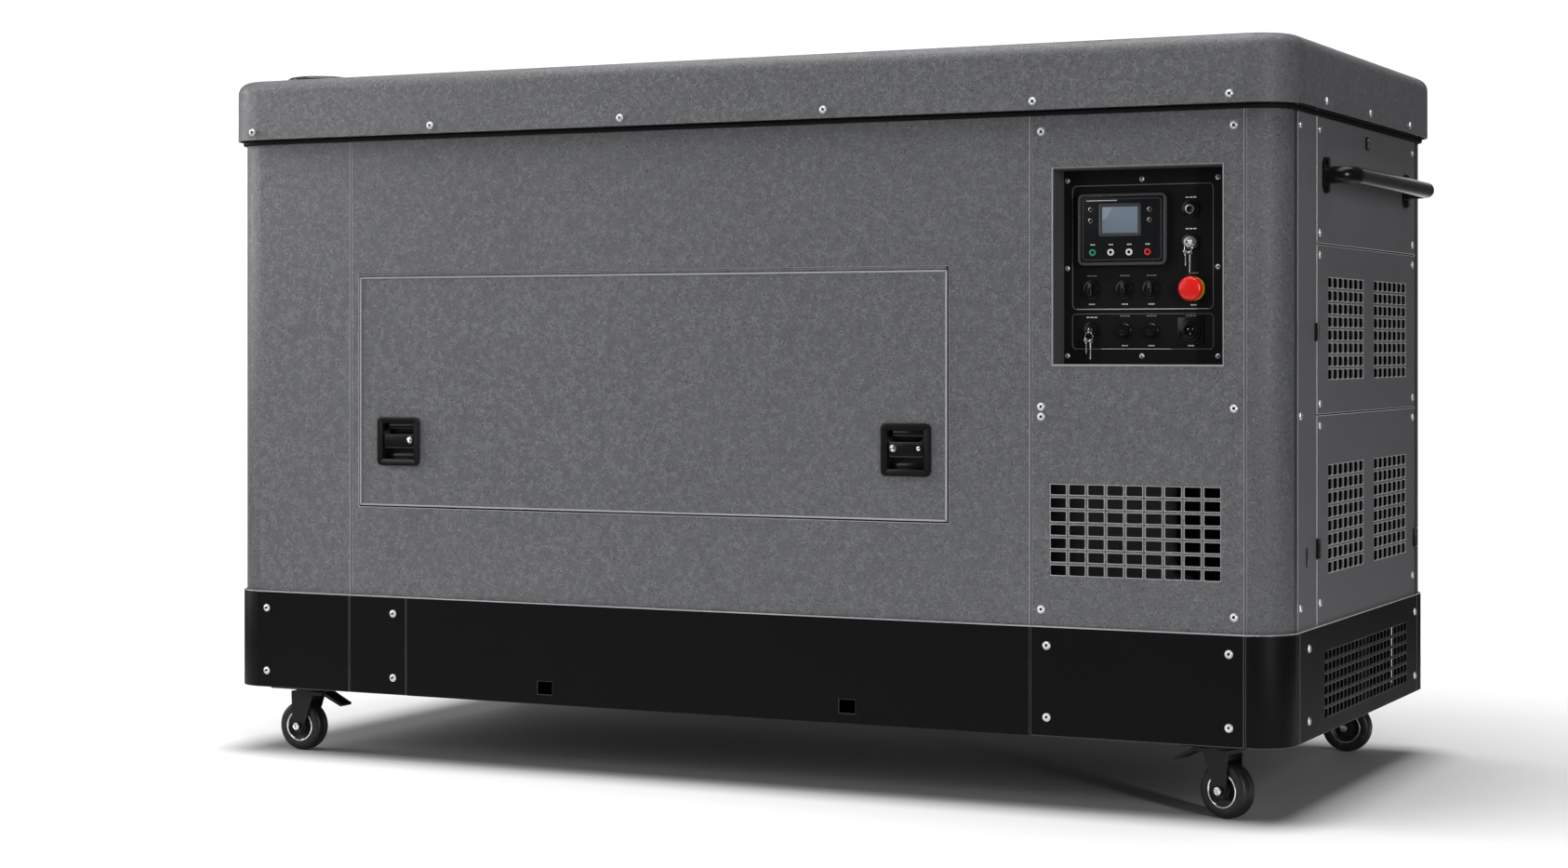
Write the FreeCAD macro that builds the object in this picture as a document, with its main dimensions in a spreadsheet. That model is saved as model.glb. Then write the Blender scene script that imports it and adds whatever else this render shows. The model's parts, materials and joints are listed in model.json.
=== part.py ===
import FreeCAD, Part

import os

import Sketcher

doc = FreeCAD.newDocument("HomeStandbyGenerator")
sheet = doc.addObject("Spreadsheet::Sheet", "dims")
V = FreeCAD.Vector
nodes = []


# ---------------------------------------------------------------- named sizes
class Size:
    """A length together with the spreadsheet formula that gives it."""

    def __init__(self, formula, value):
        self.formula = formula
        self.value = value

    def __add__(self, other):
        other = sized(other)
        return Size(f"({self.formula} + {other.formula})", self.value + other.value)

    def __sub__(self, other):
        other = sized(other)
        return Size(f"({self.formula} - {other.formula})", self.value - other.value)

    def __mul__(self, number):
        return Size(f"({self.formula} * {number})", self.value * number)

    def __truediv__(self, number):
        return Size(f"({self.formula} / {number})", self.value / number)

    def __neg__(self):
        return Size(f"(-1 * {self.formula})", -self.value)


def sized(number):
    """Let a plain number stand where a Size is expected."""
    if isinstance(number, Size):
        return number
    return Size(f"({number})", number)


def named(alias, number):
    """Write one driving dimension into the spreadsheet."""
    row = len(table) + 1
    table.append(alias)
    sheet.set(f"A{row}", alias)
    sheet.set(f"B{row}", str(number))
    sheet.setAlias(f"B{row}", alias)
    return Size(f"dims.{alias}", number)


table = []

# overall casing; X right, -Y front, Z up, the origin on the floor under its middle
body_long = named("body_long", 2000)
body_deep = named("body_deep", 936)
base_high = named("base_high", 177)
casing_high = named("casing_high", 833)
lid_high = named("lid_high", 110)
lid_over = named("lid_over", 18)
lid_round = named("lid_round", 80)
lid_edge_round = named("lid_edge_round", 24)
lid_lap = named("lid_lap", 20)
lid_seat_gap = named("lid_seat_gap", 0.35)
sheet_thick = named("sheet_thick", 3)
corner_round = named("corner_round", 58)
skirt_step = named("skirt_step", 4)
seam_gap = named("seam_gap", 2)

# how the faces are divided
left_panel_wide = named("left_panel_wide", 259)
right_panel_wide = named("right_panel_wide", 420)
corner_flat = named("corner_flat", 4)
corner_return = named("corner_return", 19)
small_cover_wide = named("small_cover_wide", 123)
side_strip_wide = named("side_strip_wide", 115)
side_low_high = named("side_low_high", 341)
side_mid_high = named("side_mid_high", 277)

# service door and its hinge
door_wide = named("door_wide", 1154)
door_high = named("door_high", 414)
door_inset = named("door_inset", 20.5)
door_rise = named("door_rise", 164)
door_gap = named("door_gap", 2.5)
pin_radius = named("pin_radius", 1.5)
knuckle_radius = named("knuckle_radius", 2.6)
knuckle_gap = named("knuckle_gap", 0.5)
pin_clear = named("pin_clear", 0.05)
leaf_high = named("leaf_high", 22)
leaf_thick = named("leaf_thick", 2)

# door latches
latch_wide = named("latch_wide", 90)
latch_high = named("latch_high", 88)
latch_proud = named("latch_proud", 3)
latch_deep = named("latch_deep", 24)
latch_rim = named("latch_rim", 12)
latch_wall = named("latch_wall", 3)
latch_round = named("latch_round", 9)
latch_rise = named("latch_rise", 117)
latch_left_inset = named("latch_left_inset", 84)
latch_right_inset = named("latch_right_inset", 73)
paddle_high = named("paddle_high", 26)
paddle_thick = named("paddle_thick", 7)
paddle_clear = named("paddle_clear", 0.6)
paddle_pin_radius = named("paddle_pin_radius", 2)
lock_radius = named("lock_radius", 6)
lock_proud = named("lock_proud", 2)

# front grille and end grilles
grille_columns = named("grille_columns", 9)
grille_rows = named("grille_rows", 8)
grille_wide = named("grille_wide", 284)
grille_high = named("grille_high", 168)
grille_bar = named("grille_bar", 5.5)
grille_inset = named("grille_inset", 34)
grille_rise = named("grille_rise", 83)
vent_columns = named("vent_columns", 7)
vent_rows = named("vent_rows", 9)
vent_wide = named("vent_wide", 228)
vent_mid_high = named("vent_mid_high", 188)
vent_low_high = named("vent_low_high", 199)
vent_bar = named("vent_bar", 5.5)
vent_inset = named("vent_inset", 69)
vent_apart = named("vent_apart", 301)
vent_mid_rise = named("vent_mid_rise", 57)
vent_low_rise = named("vent_low_rise", 81)
slot_columns = named("slot_columns", 23)
slot_rows = named("slot_rows", 7)
slot_field_wide = named("slot_field_wide", 555)
slot_field_high = named("slot_field_high", 126)
slot_bar = named("slot_bar", 4.5)
slot_inset = named("slot_inset", 148)
slot_post_wide = named("slot_post_wide", 46)
slot_rise = named("slot_rise", 25)

# lashing holes in the front sill
lash_wide = named("lash_wide", 30)
lash_high = named("lash_high", 23)
lash_rise = named("lash_rise", 17)
lash_left = named("lash_left", 656)
lash_right = named("lash_right", 1240)

# control recess and what is on its plate
recess_wide = named("recess_wide", 286)
recess_high = named("recess_high", 318)
recess_inset = named("recess_inset", 37)
recess_rise = named("recess_rise", 421)
recess_deep = named("recess_deep", 50)
case_wide = named("case_wide", 151)
case_high = named("case_high", 117)
case_thick = named("case_thick", 15)
case_left = named("case_left", 30)
case_rise = named("case_rise", 161)
case_round = named("case_round", 7)
screen_wide = named("screen_wide", 61)
screen_high = named("screen_high", 43)
screen_sunk = named("screen_sunk", 1)
screen_left = named("screen_left", 42)
screen_rise = named("screen_rise", 52)
key_radius = named("key_radius", 5.5)
key_travel = named("key_travel", 1)
key_pitch = named("key_pitch", 31)
key_left = named("key_left", 26)
key_rise = named("key_rise", 21.5)
control_clear = named("control_clear", 0.06)
control_face_gap = named("control_face_gap", 0.3)
knob_radius = named("knob_radius", 12)
knob_thick = named("knob_thick", 11)
bezel_radius = named("bezel_radius", 15)
bezel_thick = named("bezel_thick", 3)
stem_radius = named("stem_radius", 5)
button_radius = named("button_radius", 8)
button_travel = named("button_travel", 3)
estop_radius = named("estop_radius", 20)
estop_head = named("estop_head", 16)
estop_travel = named("estop_travel", 5)
estop_shift = named("estop_shift", 4.5)
collar_radius = named("collar_radius", 19)
collar_thick = named("collar_thick", 4)
row_one_rise = named("row_one_rise", 123)
row_two_rise = named("row_two_rise", 56)
column_one = named("column_one", 50)
column_two = named("column_two", 106)
column_three = named("column_three", 151)
column_four = named("column_four", 217)
key_switch_rise = named("key_switch_rise", 197)
button_rise = named("button_rise", 250)

# casters
wheel_radius = named("wheel_radius", 45)
wheel_wide = named("wheel_wide", 32)
hub_radius = named("hub_radius", 15)
hub_wide = named("hub_wide", 35.6)
axle_radius = named("axle_radius", 4)
axle_clear = named("axle_clear", 0.05)
fork_inner = named("fork_inner", 36)
fork_plate = named("fork_plate", 3)
caster_trail = named("caster_trail", 12)
caster_plate_long = named("caster_plate_long", 110)
caster_plate_wide = named("caster_plate_wide", 90)
caster_plate_thick = named("caster_plate_thick", 4)
kingpin_radius = named("kingpin_radius", 6)
caster_head = named("caster_head", 30)
caster_left_inset = named("caster_left_inset", 128)
caster_right_inset = named("caster_right_inset", 118)
caster_side_inset = named("caster_side_inset", 58)
pedal_reach = named("pedal_reach", 62)

# end handles
grip_radius = named("grip_radius", 14)
grip_bend = named("grip_bend", 26)
grip_out = named("grip_out", 45)
grip_front = named("grip_front", 240)
grip_long = named("grip_long", 540)
grip_drop = named("grip_drop", 102)
flange_wide = named("flange_wide", 34)
flange_high = named("flange_high", 60)
flange_thick = named("flange_thick", 5)

# roof cap, screws
cap_radius = named("cap_radius", 63)
cap_high = named("cap_high", 11)
cap_spigot = named("cap_spigot", 40)
cap_inset = named("cap_inset", 140)
cap_front = named("cap_front", 78)
screw_radius = named("screw_radius", 6.5)
screw_proud = named("screw_proud", 3)
screw_inset = named("screw_inset", 18)
lid_screw_pitch = named("lid_screw_pitch", 388)

# structure and running gear inside
frame_bar = named("frame_bar", 38)
frame_thick = named("frame_thick", 6)
rail_wide = named("rail_wide", 50)
rail_thick = named("rail_thick", 10)
tray_thick = named("tray_thick", 4)
cross_high = named("cross_high", 25)
cross_wide = named("cross_wide", 60)
mount_radius = named("mount_radius", 26)
mount_high = named("mount_high", 105)
engine_long = named("engine_long", 380)
engine_wide = named("engine_wide", 250)
engine_high = named("engine_high", 270)
head_high = named("head_high", 110)
alternator_radius = named("alternator_radius", 132)
alternator_long = named("alternator_long", 400)
radiator_wide = named("radiator_wide", 640)
radiator_high = named("radiator_high", 560)
radiator_thick = named("radiator_thick", 60)
fan_radius = named("fan_radius", 230)
fan_thick = named("fan_thick", 26)
fan_hub_radius = named("fan_hub_radius", 50)
blade_wide = named("blade_wide", 50)
spindle_radius = named("spindle_radius", 9)
muffler_radius = named("muffler_radius", 95)
muffler_long = named("muffler_long", 480)
battery_long = named("battery_long", 260)
battery_wide = named("battery_wide", 172)
battery_high = named("battery_high", 210)
port_bore = named("port_bore", 12.5)
port_wall = named("port_wall", 5)
port_out = named("port_out", 14)

doc.recompute()

# places that several sub-parts share
left = -(body_long / 2)
right = body_long / 2
front = -(body_deep / 2)
rear = body_deep / 2
floor_gap = wheel_radius * 2 + caster_head
base_top = floor_gap + base_high
casing_top = base_top + casing_high
panel_top = casing_top + lid_lap
lid_top = casing_top + lid_high
ceiling = lid_top - sheet_thick - lid_seat_gap
left_seam = left + left_panel_wide
right_seam = right - right_panel_wide
corner_wide = corner_round + corner_flat
corner_deep = corner_round + corner_return
corner_seam = right - corner_wide
front_corner = front + corner_deep
rear_corner = rear - corner_deep
half_gap = seam_gap / 2
strip_seam = front_corner + side_strip_wide
side_low_top = base_top + side_low_high
side_mid_top = side_low_top + side_mid_high
door_left = left_seam + door_inset
door_right = door_left + door_wide
door_bottom = base_top + door_rise
door_top = door_bottom + door_high
hinge_z = door_top + knuckle_radius
hinge_y = front + sheet_thick / 3
recess_left = right_seam + recess_inset
recess_right = recess_left + recess_wide
recess_bottom = base_top + recess_rise
recess_top = recess_bottom + recess_high
plate_face = front + recess_deep
tray_top = floor_gap + tray_thick
cross_top = tray_top + cross_high
engine_foot = cross_top + mount_high


# ------------------------------------------------------------------- builders
def bind(thing, prop, size):
    """Tie one property to a spreadsheet formula."""
    thing.setExpression(prop, sized(size).formula)


def keep(thing, label):
    """Name a finished sub-part and list it for export."""
    thing.Label = label
    nodes.append(thing)
    return thing


def new_body(name):
    return doc.addObject("PartDesign::Body", name)


def new_sketch(body, role, offset):
    """A sketch on one of the body's own origin planes, moved along its normal."""
    plane = next(f for f in body.Origin.OriginFeatures if f.Role == role)
    sketch = body.newObject("Sketcher::SketchObject", "Sketch")
    sketch.AttachmentSupport = [(plane, "")]
    sketch.MapMode = "FlatFace"
    bind(sketch, "AttachmentOffset.Base.z", offset)
    return sketch


def pin_point(sketch, geometry, position, across, up):
    """Fix one sketch point by two bound distances from the sketch origin."""
    for kind, size in (("DistanceX", across), ("DistanceY", up)):
        rule = Sketcher.Constraint(kind, -1, 1, geometry, position, float(size.value))
        index = sketch.addConstraint(rule)
        bind(sketch, f"Constraints[{index}]", size)


def draw_polygon(sketch, points):
    """A closed outline through points given as (across, up) sizes."""
    points = [(sized(a), sized(b)) for a, b in points]
    first = sketch.GeometryCount
    count = len(points)
    for i in range(count):
        start = V(points[i][0].value, points[i][1].value, 0)
        end_pair = points[(i + 1) % count]
        end = V(end_pair[0].value, end_pair[1].value, 0)
        sketch.addGeometry(Part.LineSegment(start, end))
    for i in range(count):
        after = (i + 1) % count
        joint = Sketcher.Constraint("Coincident", first + i, 2, first + after, 1)
        sketch.addConstraint(joint)
    for i in range(count):
        pin_point(sketch, first + i, 1, points[i][0], points[i][1])


def draw_rectangle(sketch, low_across, high_across, low_up, high_up):
    draw_polygon(sketch, [
        (low_across, low_up), (high_across, low_up),
        (high_across, high_up), (low_across, high_up)])


def draw_circle(sketch, across, up, radius):
    across = sized(across)
    up = sized(up)
    radius = sized(radius)
    centre = V(across.value, up.value, 0)
    index = sketch.addGeometry(Part.Circle(centre, V(0, 0, 1), radius.value))
    rule = sketch.addConstraint(Sketcher.Constraint("Radius", index, float(radius.value)))
    bind(sketch, f"Constraints[{rule}]", radius)
    pin_point(sketch, index, 3, across, up)


def pad(body, sketch, length, both_ways=False):
    feature = body.newObject("PartDesign::Pad", "Pad")
    feature.Profile = sketch
    if both_ways:
        feature.SideType = "Symmetric"
    bind(feature, "Length", length)
    return feature


def pocket(body, sketch, depth):
    """Cut from the sketch plane against its normal."""
    feature = body.newObject("PartDesign::Pocket", "Pocket")
    feature.Profile = sketch
    bind(feature, "Length", depth)
    return feature


def pocket_through(body, sketch):
    feature = body.newObject("PartDesign::Pocket", "Through")
    feature.Profile = sketch
    feature.Type = "ThroughAll"
    feature.SideType = "Symmetric"
    return feature


def grid_of(body, hole, sketch, columns, pitch_across, rows, pitch_up):
    """Repeat one pocket along both axes of its own sketch."""
    pattern = body.newObject("PartDesign::LinearPattern", "Grid")
    pattern.Originals = [hole]
    pattern.Direction = (sketch, ["H_Axis"])
    pattern.Mode = "Spacing"
    bind(pattern, "Offset", pitch_across)
    bind(pattern, "Occurrences", columns)
    pattern.Direction2 = (sketch, ["V_Axis"])
    pattern.Mode2 = "Spacing"
    bind(pattern, "Offset2", pitch_up)
    bind(pattern, "Occurrences2", rows)
    body.Tip = pattern
    return pattern


def round_edges(body, radius, wanted):
    """Fillet every edge of the body so far that the test picks."""
    doc.recompute()
    base = body.Tip
    names = [f"Edge{i + 1}" for i, edge in enumerate(base.Shape.Edges) if wanted(edge)]
    feature = body.newObject("PartDesign::Fillet", "Round")
    feature.Base = (base, names)
    bind(feature, "Radius", radius)
    return feature


def along(axis):
    """Pick straight edges that run along one axis."""
    def test(edge):
        if len(edge.Vertexes) < 2:
            return False
        step = edge.Vertexes[1].Point - edge.Vertexes[0].Point
        others = [abs(step[i]) for i in range(3) if i != axis]
        return max(others) < 0.001 and abs(step[axis]) > 0.001
    return test


def upright_at(x, y):
    """Pick the upright edge that stands at one plan position."""
    def test(edge):
        on_line = along(2)(edge)
        point = edge.Vertexes[0].Point
        near = abs(point.x - x.value) < 0.01 and abs(point.y - y.value) < 0.01
        return on_line and near
    return test


def at_level(axis, size):
    """Pick edges lying in one plane across an axis."""
    def test(edge):
        spots = [vertex.Point[axis] for vertex in edge.Vertexes]
        spots.append(edge.CenterOfMass[axis])
        return max(abs(spot - size.value) for spot in spots) < 0.01
    return test


def box(x, y, z):
    """A block between three pairs of low and high sizes."""
    block = doc.addObject("Part::Box", "Block")
    for prop, coordinate, pair in (("Length", "x", x), ("Width", "y", y), ("Height", "z", z)):
        low = sized(pair[0])
        high = sized(pair[1])
        bind(block, prop, high - low)
        bind(block, f"Placement.Base.{coordinate}", low)
    return block


TURNS = {
    "x": FreeCAD.Rotation(V(0, 1, 0), 90),
    "y": FreeCAD.Rotation(V(1, 0, 0), -90),
    "z": FreeCAD.Rotation(),
}


def place(thing, x, y, z, turn):
    """Set a turn and bind the position."""
    thing.Placement = FreeCAD.Placement(V(0, 0, 0), turn)
    bind(thing, "Placement.Base.x", x)
    bind(thing, "Placement.Base.y", y)
    bind(thing, "Placement.Base.z", z)


def rod(axis, low, high, centre, radius):
    """A cylinder along an axis from low to high; centre holds the other two sizes."""
    low = sized(low)
    high = sized(high)
    cylinder = doc.addObject("Part::Cylinder", "Rod")
    bind(cylinder, "Radius", radius)
    bind(cylinder, "Height", high - low)
    spots = {
        "x": (low, centre[0], centre[1]),
        "y": (centre[0], low, centre[1]),
        "z": (centre[0], centre[1], low),
    }
    place(cylinder, *spots[axis], TURNS[axis])
    return cylinder


def fuse(pieces):
    joined = doc.addObject("Part::MultiFuse", "Joined")
    joined.Shapes = pieces
    joined.Refine = True
    return joined


def cut(base, tool):
    trimmed = doc.addObject("Part::Cut", "Trimmed")
    trimmed.Base = base
    trimmed.Tool = tool
    return trimmed


def group(pieces):
    compound = doc.addObject("Part::Compound", "Group")
    compound.Links = pieces
    return compound


def sheet_on(role, offset, outline, name):
    """A flat sheet-metal body one sheet thick, grown along the plane's normal."""
    body = new_body(name)
    sketch = new_sketch(body, role, offset)
    draw_rectangle(sketch, *outline)
    pad(body, sketch, sheet_thick)
    return body


def front_sheet(name, low_x, high_x, low_z, high_z):
    """A front panel whose outer face is the casing's front."""
    outline = (low_x, high_x, low_z, high_z)
    return sheet_on("XZ_Plane", -front - sheet_thick, outline, name)


def right_sheet(name, low_y, high_y, low_z, high_z):
    """A right-hand panel whose outer face is the casing's right end."""
    outline = (low_y, high_y, low_z, high_z)
    return sheet_on("YZ_Plane", right - sheet_thick, outline, name)


def cut_grid(body, role, low_across, low_up, wide, high, columns, rows, bar):
    """Cut a regular grid of rectangular holes into a sheet."""
    pitch_across = Size(f"({wide.formula} + {bar.formula}) / {columns.formula}",
                        (wide.value + bar.value) / columns.value)
    pitch_up = Size(f"({high.formula} + {bar.formula}) / {rows.formula}",
                    (high.value + bar.value) / rows.value)
    offset = {"XZ_Plane": -front, "YZ_Plane": sized(0)}[role]
    sketch = new_sketch(body, role, offset)
    draw_rectangle(sketch, low_across, low_across + pitch_across - bar,
                   low_up, low_up + pitch_up - bar)
    hole = pocket_through(body, sketch)
    grid_of(body, hole, sketch, columns, pitch_across, rows, pitch_up)


def corner_shell(name, x_outer, x_inner, y_outer, y_inner, low_z, high_z):
    """A bent corner cover: an angle of sheet with its bend rounded."""
    out = 1 if x_outer.value > x_inner.value else -1
    back = 1 if y_outer.value > y_inner.value else -1
    x_skin = x_outer - sheet_thick * out
    y_skin = y_outer - sheet_thick * back
    body = new_body(name)
    sketch = new_sketch(body, "XY_Plane", low_z)
    draw_polygon(sketch, [
        (x_inner, y_outer), (x_outer, y_outer), (x_outer, y_inner),
        (x_skin, y_inner), (x_skin, y_skin), (x_inner, y_skin)])
    pad(body, sketch, high_z - low_z)
    round_edges(body, corner_round, upright_at(x_outer, y_outer))
    round_edges(body, corner_round - sheet_thick, upright_at(x_skin, y_skin))
    return body


# ----------------------------------------------------------------------- base
def make_base_frame():
    """Tray, perimeter rails, cross members and rubber-mount pillars."""
    skin = skirt_step - sheet_thick
    x_low = left - skin
    x_high = right + skin
    y_low = front - skin
    y_high = rear + skin
    tray = new_body("tray")
    sketch = new_sketch(tray, "XY_Plane", floor_gap)
    draw_rectangle(sketch, x_low, x_high, y_low, y_high)
    pad(tray, sketch, tray_thick)
    round_edges(tray, corner_round, along(2))
    rail_left = left + corner_wide
    rail_right = right - corner_wide
    rear_rail = (y_high - rail_thick, y_high)
    front_rail = (y_low, y_low + rail_thick)
    pieces = [tray]
    wall_z = (tray_top, base_top)
    lash_low = floor_gap + lash_rise
    for z in ((tray_top, lash_low), (lash_low + lash_high, base_top)):
        pieces.append(box((rail_left, rail_right), front_rail, z))
    for side in (left + lash_left * 0.5, right_seam - rail_wide * 0.6):
        web = (side, side + rail_wide)
        pieces.append(box(web, front_rail, (lash_low, lash_low + lash_high)))
    pieces.append(box((rail_left, rail_right), rear_rail, wall_z))
    end_y = (front_corner, rear_corner)
    pieces.append(box((x_low, x_low + rail_thick), end_y, wall_z))
    right_rail = (x_high - rail_thick, x_high)
    slot_low = floor_gap + slot_rise
    slot_middle = front_corner + slot_inset + slot_field_wide / 2
    post_y = (slot_middle - slot_post_wide / 2, slot_middle + slot_post_wide / 2)
    pieces.append(box(right_rail, end_y, (tray_top, slot_low - slot_bar)))
    pieces.append(box(right_rail, end_y, (slot_low + slot_field_high, base_top)))
    pieces.append(box(right_rail, post_y, (slot_low - slot_bar, slot_low + slot_field_high)))
    inner_y = (y_low + rail_thick, y_high - rail_thick)
    low_z = (tray_top, cross_top)
    for x in (engine_left, engine_left + engine_long, alternator_right):
        pieces.append(box((x - cross_wide, x), inner_y, low_z))
    mount_z = (cross_top, engine_foot)
    for x in (engine_left - cross_wide / 2, engine_left + engine_long - cross_wide / 2):
        for side in (-1, 1):
            y = engine_wide * (0.5 * side)
            pieces.append(rod("z", *mount_z, (x, y), mount_radius))
    x = alternator_right - cross_wide / 2
    for side in (-1, 1):
        y = alternator_radius * (0.6 * side)
        pieces.append(rod("z", *mount_z, (x, y), mount_radius))
    return keep(group(pieces), "base_frame")


engine_left = left * 0.38
alternator_right = engine_left + engine_long + alternator_long


def make_front_sill():
    """The long front skirt plate with two lashing holes."""
    low_x = left_seam + small_cover_wide + half_gap
    high_x = right_seam - half_gap
    body = sheet_on("XZ_Plane", -front + skirt_step - sheet_thick,
                    (low_x, high_x, floor_gap, base_top), "sill")
    sketch = new_sketch(body, "XZ_Plane", -front)
    for start in (left + lash_left, left + lash_right):
        low_z = floor_gap + lash_rise
        draw_rectangle(sketch, start, start + lash_wide, low_z, low_z + lash_high)
    pocket_through(body, sketch)
    return keep(body, "front_sill")


def make_sill_covers():
    """Every other skirt plate: corners, short front pieces, rear and left end."""
    z = (floor_gap, base_top)
    out_y = front - skirt_step
    back_y = rear + skirt_step
    out_x = right + skirt_step
    end_x = left - skirt_step
    front_y = (out_y, out_y + sheet_thick)
    rear_y = (back_y - sheet_thick, back_y)
    pieces = [
        corner_shell("skirt_fl", end_x, left_seam - half_gap, out_y, front_corner, *z),
        corner_shell("skirt_fr", out_x, corner_seam + half_gap, out_y, front_corner, *z),
        corner_shell("skirt_rr", out_x, corner_seam + half_gap, back_y, rear_corner, *z),
        corner_shell("skirt_rl", end_x, left + corner_wide, back_y, rear_corner, *z),
        box((left_seam + half_gap, left_seam + small_cover_wide - half_gap), front_y, z),
        box((right_seam + half_gap, corner_seam - half_gap), front_y, z),
        box((left + corner_wide + seam_gap, half_gap * -1), rear_y, z),
        box((half_gap, corner_seam - half_gap), rear_y, z),
        box((end_x, end_x + sheet_thick), (front_corner + seam_gap, rear_corner - seam_gap), z),
    ]
    return keep(group(pieces), "sill_covers")


def make_sill_side_grille():
    """The right-hand skirt plate with its field of fine slots."""
    low_y = front_corner + seam_gap
    high_y = rear_corner - seam_gap
    body = sheet_on("YZ_Plane", right + skirt_step - sheet_thick,
                    (low_y, high_y, floor_gap, base_top), "side_sill")
    cut_grid(body, "YZ_Plane", front_corner + slot_inset, floor_gap + slot_rise,
             slot_field_wide, slot_field_high, slot_columns, slot_rows, slot_bar)
    return keep(body, "sill_side_grille")


# --------------------------------------------------------------------- casing
def make_body_frame():
    """Flat bars behind the panels, up to the lid's ceiling."""
    inner_front = front + sheet_thick
    inner_rear = rear - sheet_thick
    inner_left = left + sheet_thick
    inner_right = right - sheet_thick
    post_z = (base_top, ceiling)
    rail_z = (casing_top - frame_bar, casing_top)
    front_y = (inner_front, inner_front + frame_thick)
    rear_y = (inner_rear - frame_thick, inner_rear)
    left_x = (inner_left, inner_left + frame_thick)
    right_x = (inner_right - frame_thick, inner_right)
    left_post = (left_seam - frame_bar / 2, left_seam + frame_bar / 2)
    right_post = (right_seam - frame_bar / 2, right_seam + frame_bar / 2)
    edge_post = (recess_right + seam_gap, corner_seam)
    far_post = (left + corner_wide, left + corner_wide + frame_bar)
    pieces = []
    for x in (left_post, right_post, edge_post):
        pieces.append(box(x, front_y, post_z))
    for x in (far_post, right_post, edge_post):
        pieces.append(box(x, rear_y, post_z))
    pieces.append(box((left_post[1], right_post[0]), front_y, rail_z))
    pieces.append(box((right_post[1], edge_post[0]), front_y, rail_z))
    pieces.append(box((far_post[1], right_post[0]), rear_y, rail_z))
    pieces.append(box((right_post[1], edge_post[0]), rear_y, rail_z))
    near_y = (front_corner - frame_bar / 2, front_corner + frame_bar / 2)
    back_y = (rear_corner - frame_bar / 2, rear_corner + frame_bar / 2)
    strip_y = (strip_seam - frame_bar / 2, strip_seam + frame_bar / 2)
    for y in (near_y, strip_y, back_y):
        pieces.append(box(right_x, y, post_z))
    for y in (near_y, back_y):
        pieces.append(box(left_x, y, post_z))
    pieces.append(box(left_x, (near_y[1], back_y[0]), rail_z))
    for z in (side_low_top, side_mid_top, casing_top - frame_bar / 2):
        rail = (z - frame_bar / 2, z + frame_bar / 2)
        pieces.append(box(right_x, (strip_y[1], back_y[0]), rail))
    return keep(group(pieces), "body_frame")


def make_front_left_panel():
    """The wide panel that wraps the front left corner."""
    body = corner_shell("front_left", left, left_seam - half_gap,
                        front, front_corner, base_top, panel_top)
    return keep(body, "front_left_panel")


def make_corner_posts():
    """The three bent corner covers."""
    z = (base_top, panel_top)
    x_in = corner_seam + half_gap
    pieces = [
        corner_shell("post_fr", right, x_in, front, front_corner, *z),
        corner_shell("post_rr", right, x_in, rear, rear_corner, *z),
        corner_shell("post_rl", left, left + corner_wide, rear, rear_corner, *z),
    ]
    return keep(group(pieces), "corner_posts")


def make_front_main_panel():
    """The long front panel around the service door."""
    body = front_sheet("front_main", left_seam + half_gap, right_seam - half_gap,
                       base_top, panel_top)
    sketch = new_sketch(body, "XZ_Plane", -front)
    draw_rectangle(sketch, door_left - door_gap, door_right + door_gap,
                   door_bottom - door_gap, hinge_z + knuckle_radius + knuckle_gap)
    pocket_through(body, sketch)
    return keep(body, "front_main_panel")


def make_front_right_panel():
    """The narrow front panel with the control opening and the intake grille."""
    body = front_sheet("front_right", right_seam + half_gap, corner_seam - half_gap,
                       base_top, panel_top)
    sketch = new_sketch(body, "XZ_Plane", -front)
    draw_rectangle(sketch, recess_left, recess_right, recess_bottom, recess_top)
    pocket_through(body, sketch)
    cut_grid(body, "XZ_Plane", right_seam + grille_inset, base_top + grille_rise,
             grille_wide, grille_high, grille_columns, grille_rows, grille_bar)
    return keep(body, "front_right_panel")


def make_side_panels():
    """Right end: the front strip and three stacked panels."""
    low_y = strip_seam + half_gap
    high_y = rear_corner - half_gap
    strip = right_sheet("strip", front_corner + seam_gap, strip_seam - half_gap,
                        base_top, panel_top)
    keep(strip, "side_strip")
    upper = right_sheet("upper", low_y, high_y, side_mid_top + half_gap, panel_top)
    keep(upper, "side_upper_panel")
    middle = right_sheet("middle", low_y, high_y,
                         side_low_top + half_gap, side_mid_top - half_gap)
    lower = right_sheet("lower", low_y, high_y, base_top, side_low_top - half_gap)
    for shift in (vent_inset, vent_inset + vent_apart):
        cut_grid(middle, "YZ_Plane", strip_seam + shift, side_low_top + vent_mid_rise,
                 vent_wide, vent_mid_high, vent_columns, vent_rows, vent_bar)
        cut_grid(lower, "YZ_Plane", strip_seam + shift, base_top + vent_low_rise,
                 vent_wide, vent_low_high, vent_columns, vent_rows, vent_bar)
    keep(middle, "side_middle_panel")
    keep(lower, "side_lower_panel")


def make_rear_panel():
    """The plain back sheet with an intake grille at its right."""
    body = sheet_on("XZ_Plane", -rear,
                    (left + corner_wide + seam_gap, corner_seam - half_gap,
                     base_top, panel_top), "rear")
    cut_grid(body, "XZ_Plane", right_seam + grille_inset, base_top + grille_rise,
             grille_wide, grille_high, grille_columns, grille_rows, grille_bar)
    cut_ports(body)
    return keep(body, "rear_panel")


def make_left_end_panel():
    """The left sheet with the discharge grilles in front of the radiator."""
    body = sheet_on("YZ_Plane", left,
                    (front_corner + seam_gap, rear_corner - half_gap, base_top, panel_top),
                    "left_end")
    for shift in (vent_inset, vent_inset + vent_apart):
        for rise in (vent_low_rise, vent_low_rise + side_low_high - vent_bar * 3):
            cut_grid(body, "YZ_Plane", strip_seam + shift - vent_inset, base_top + rise,
                     vent_wide, vent_low_high, vent_columns, vent_rows, vent_bar)
    return keep(body, "left_end_panel")


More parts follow.
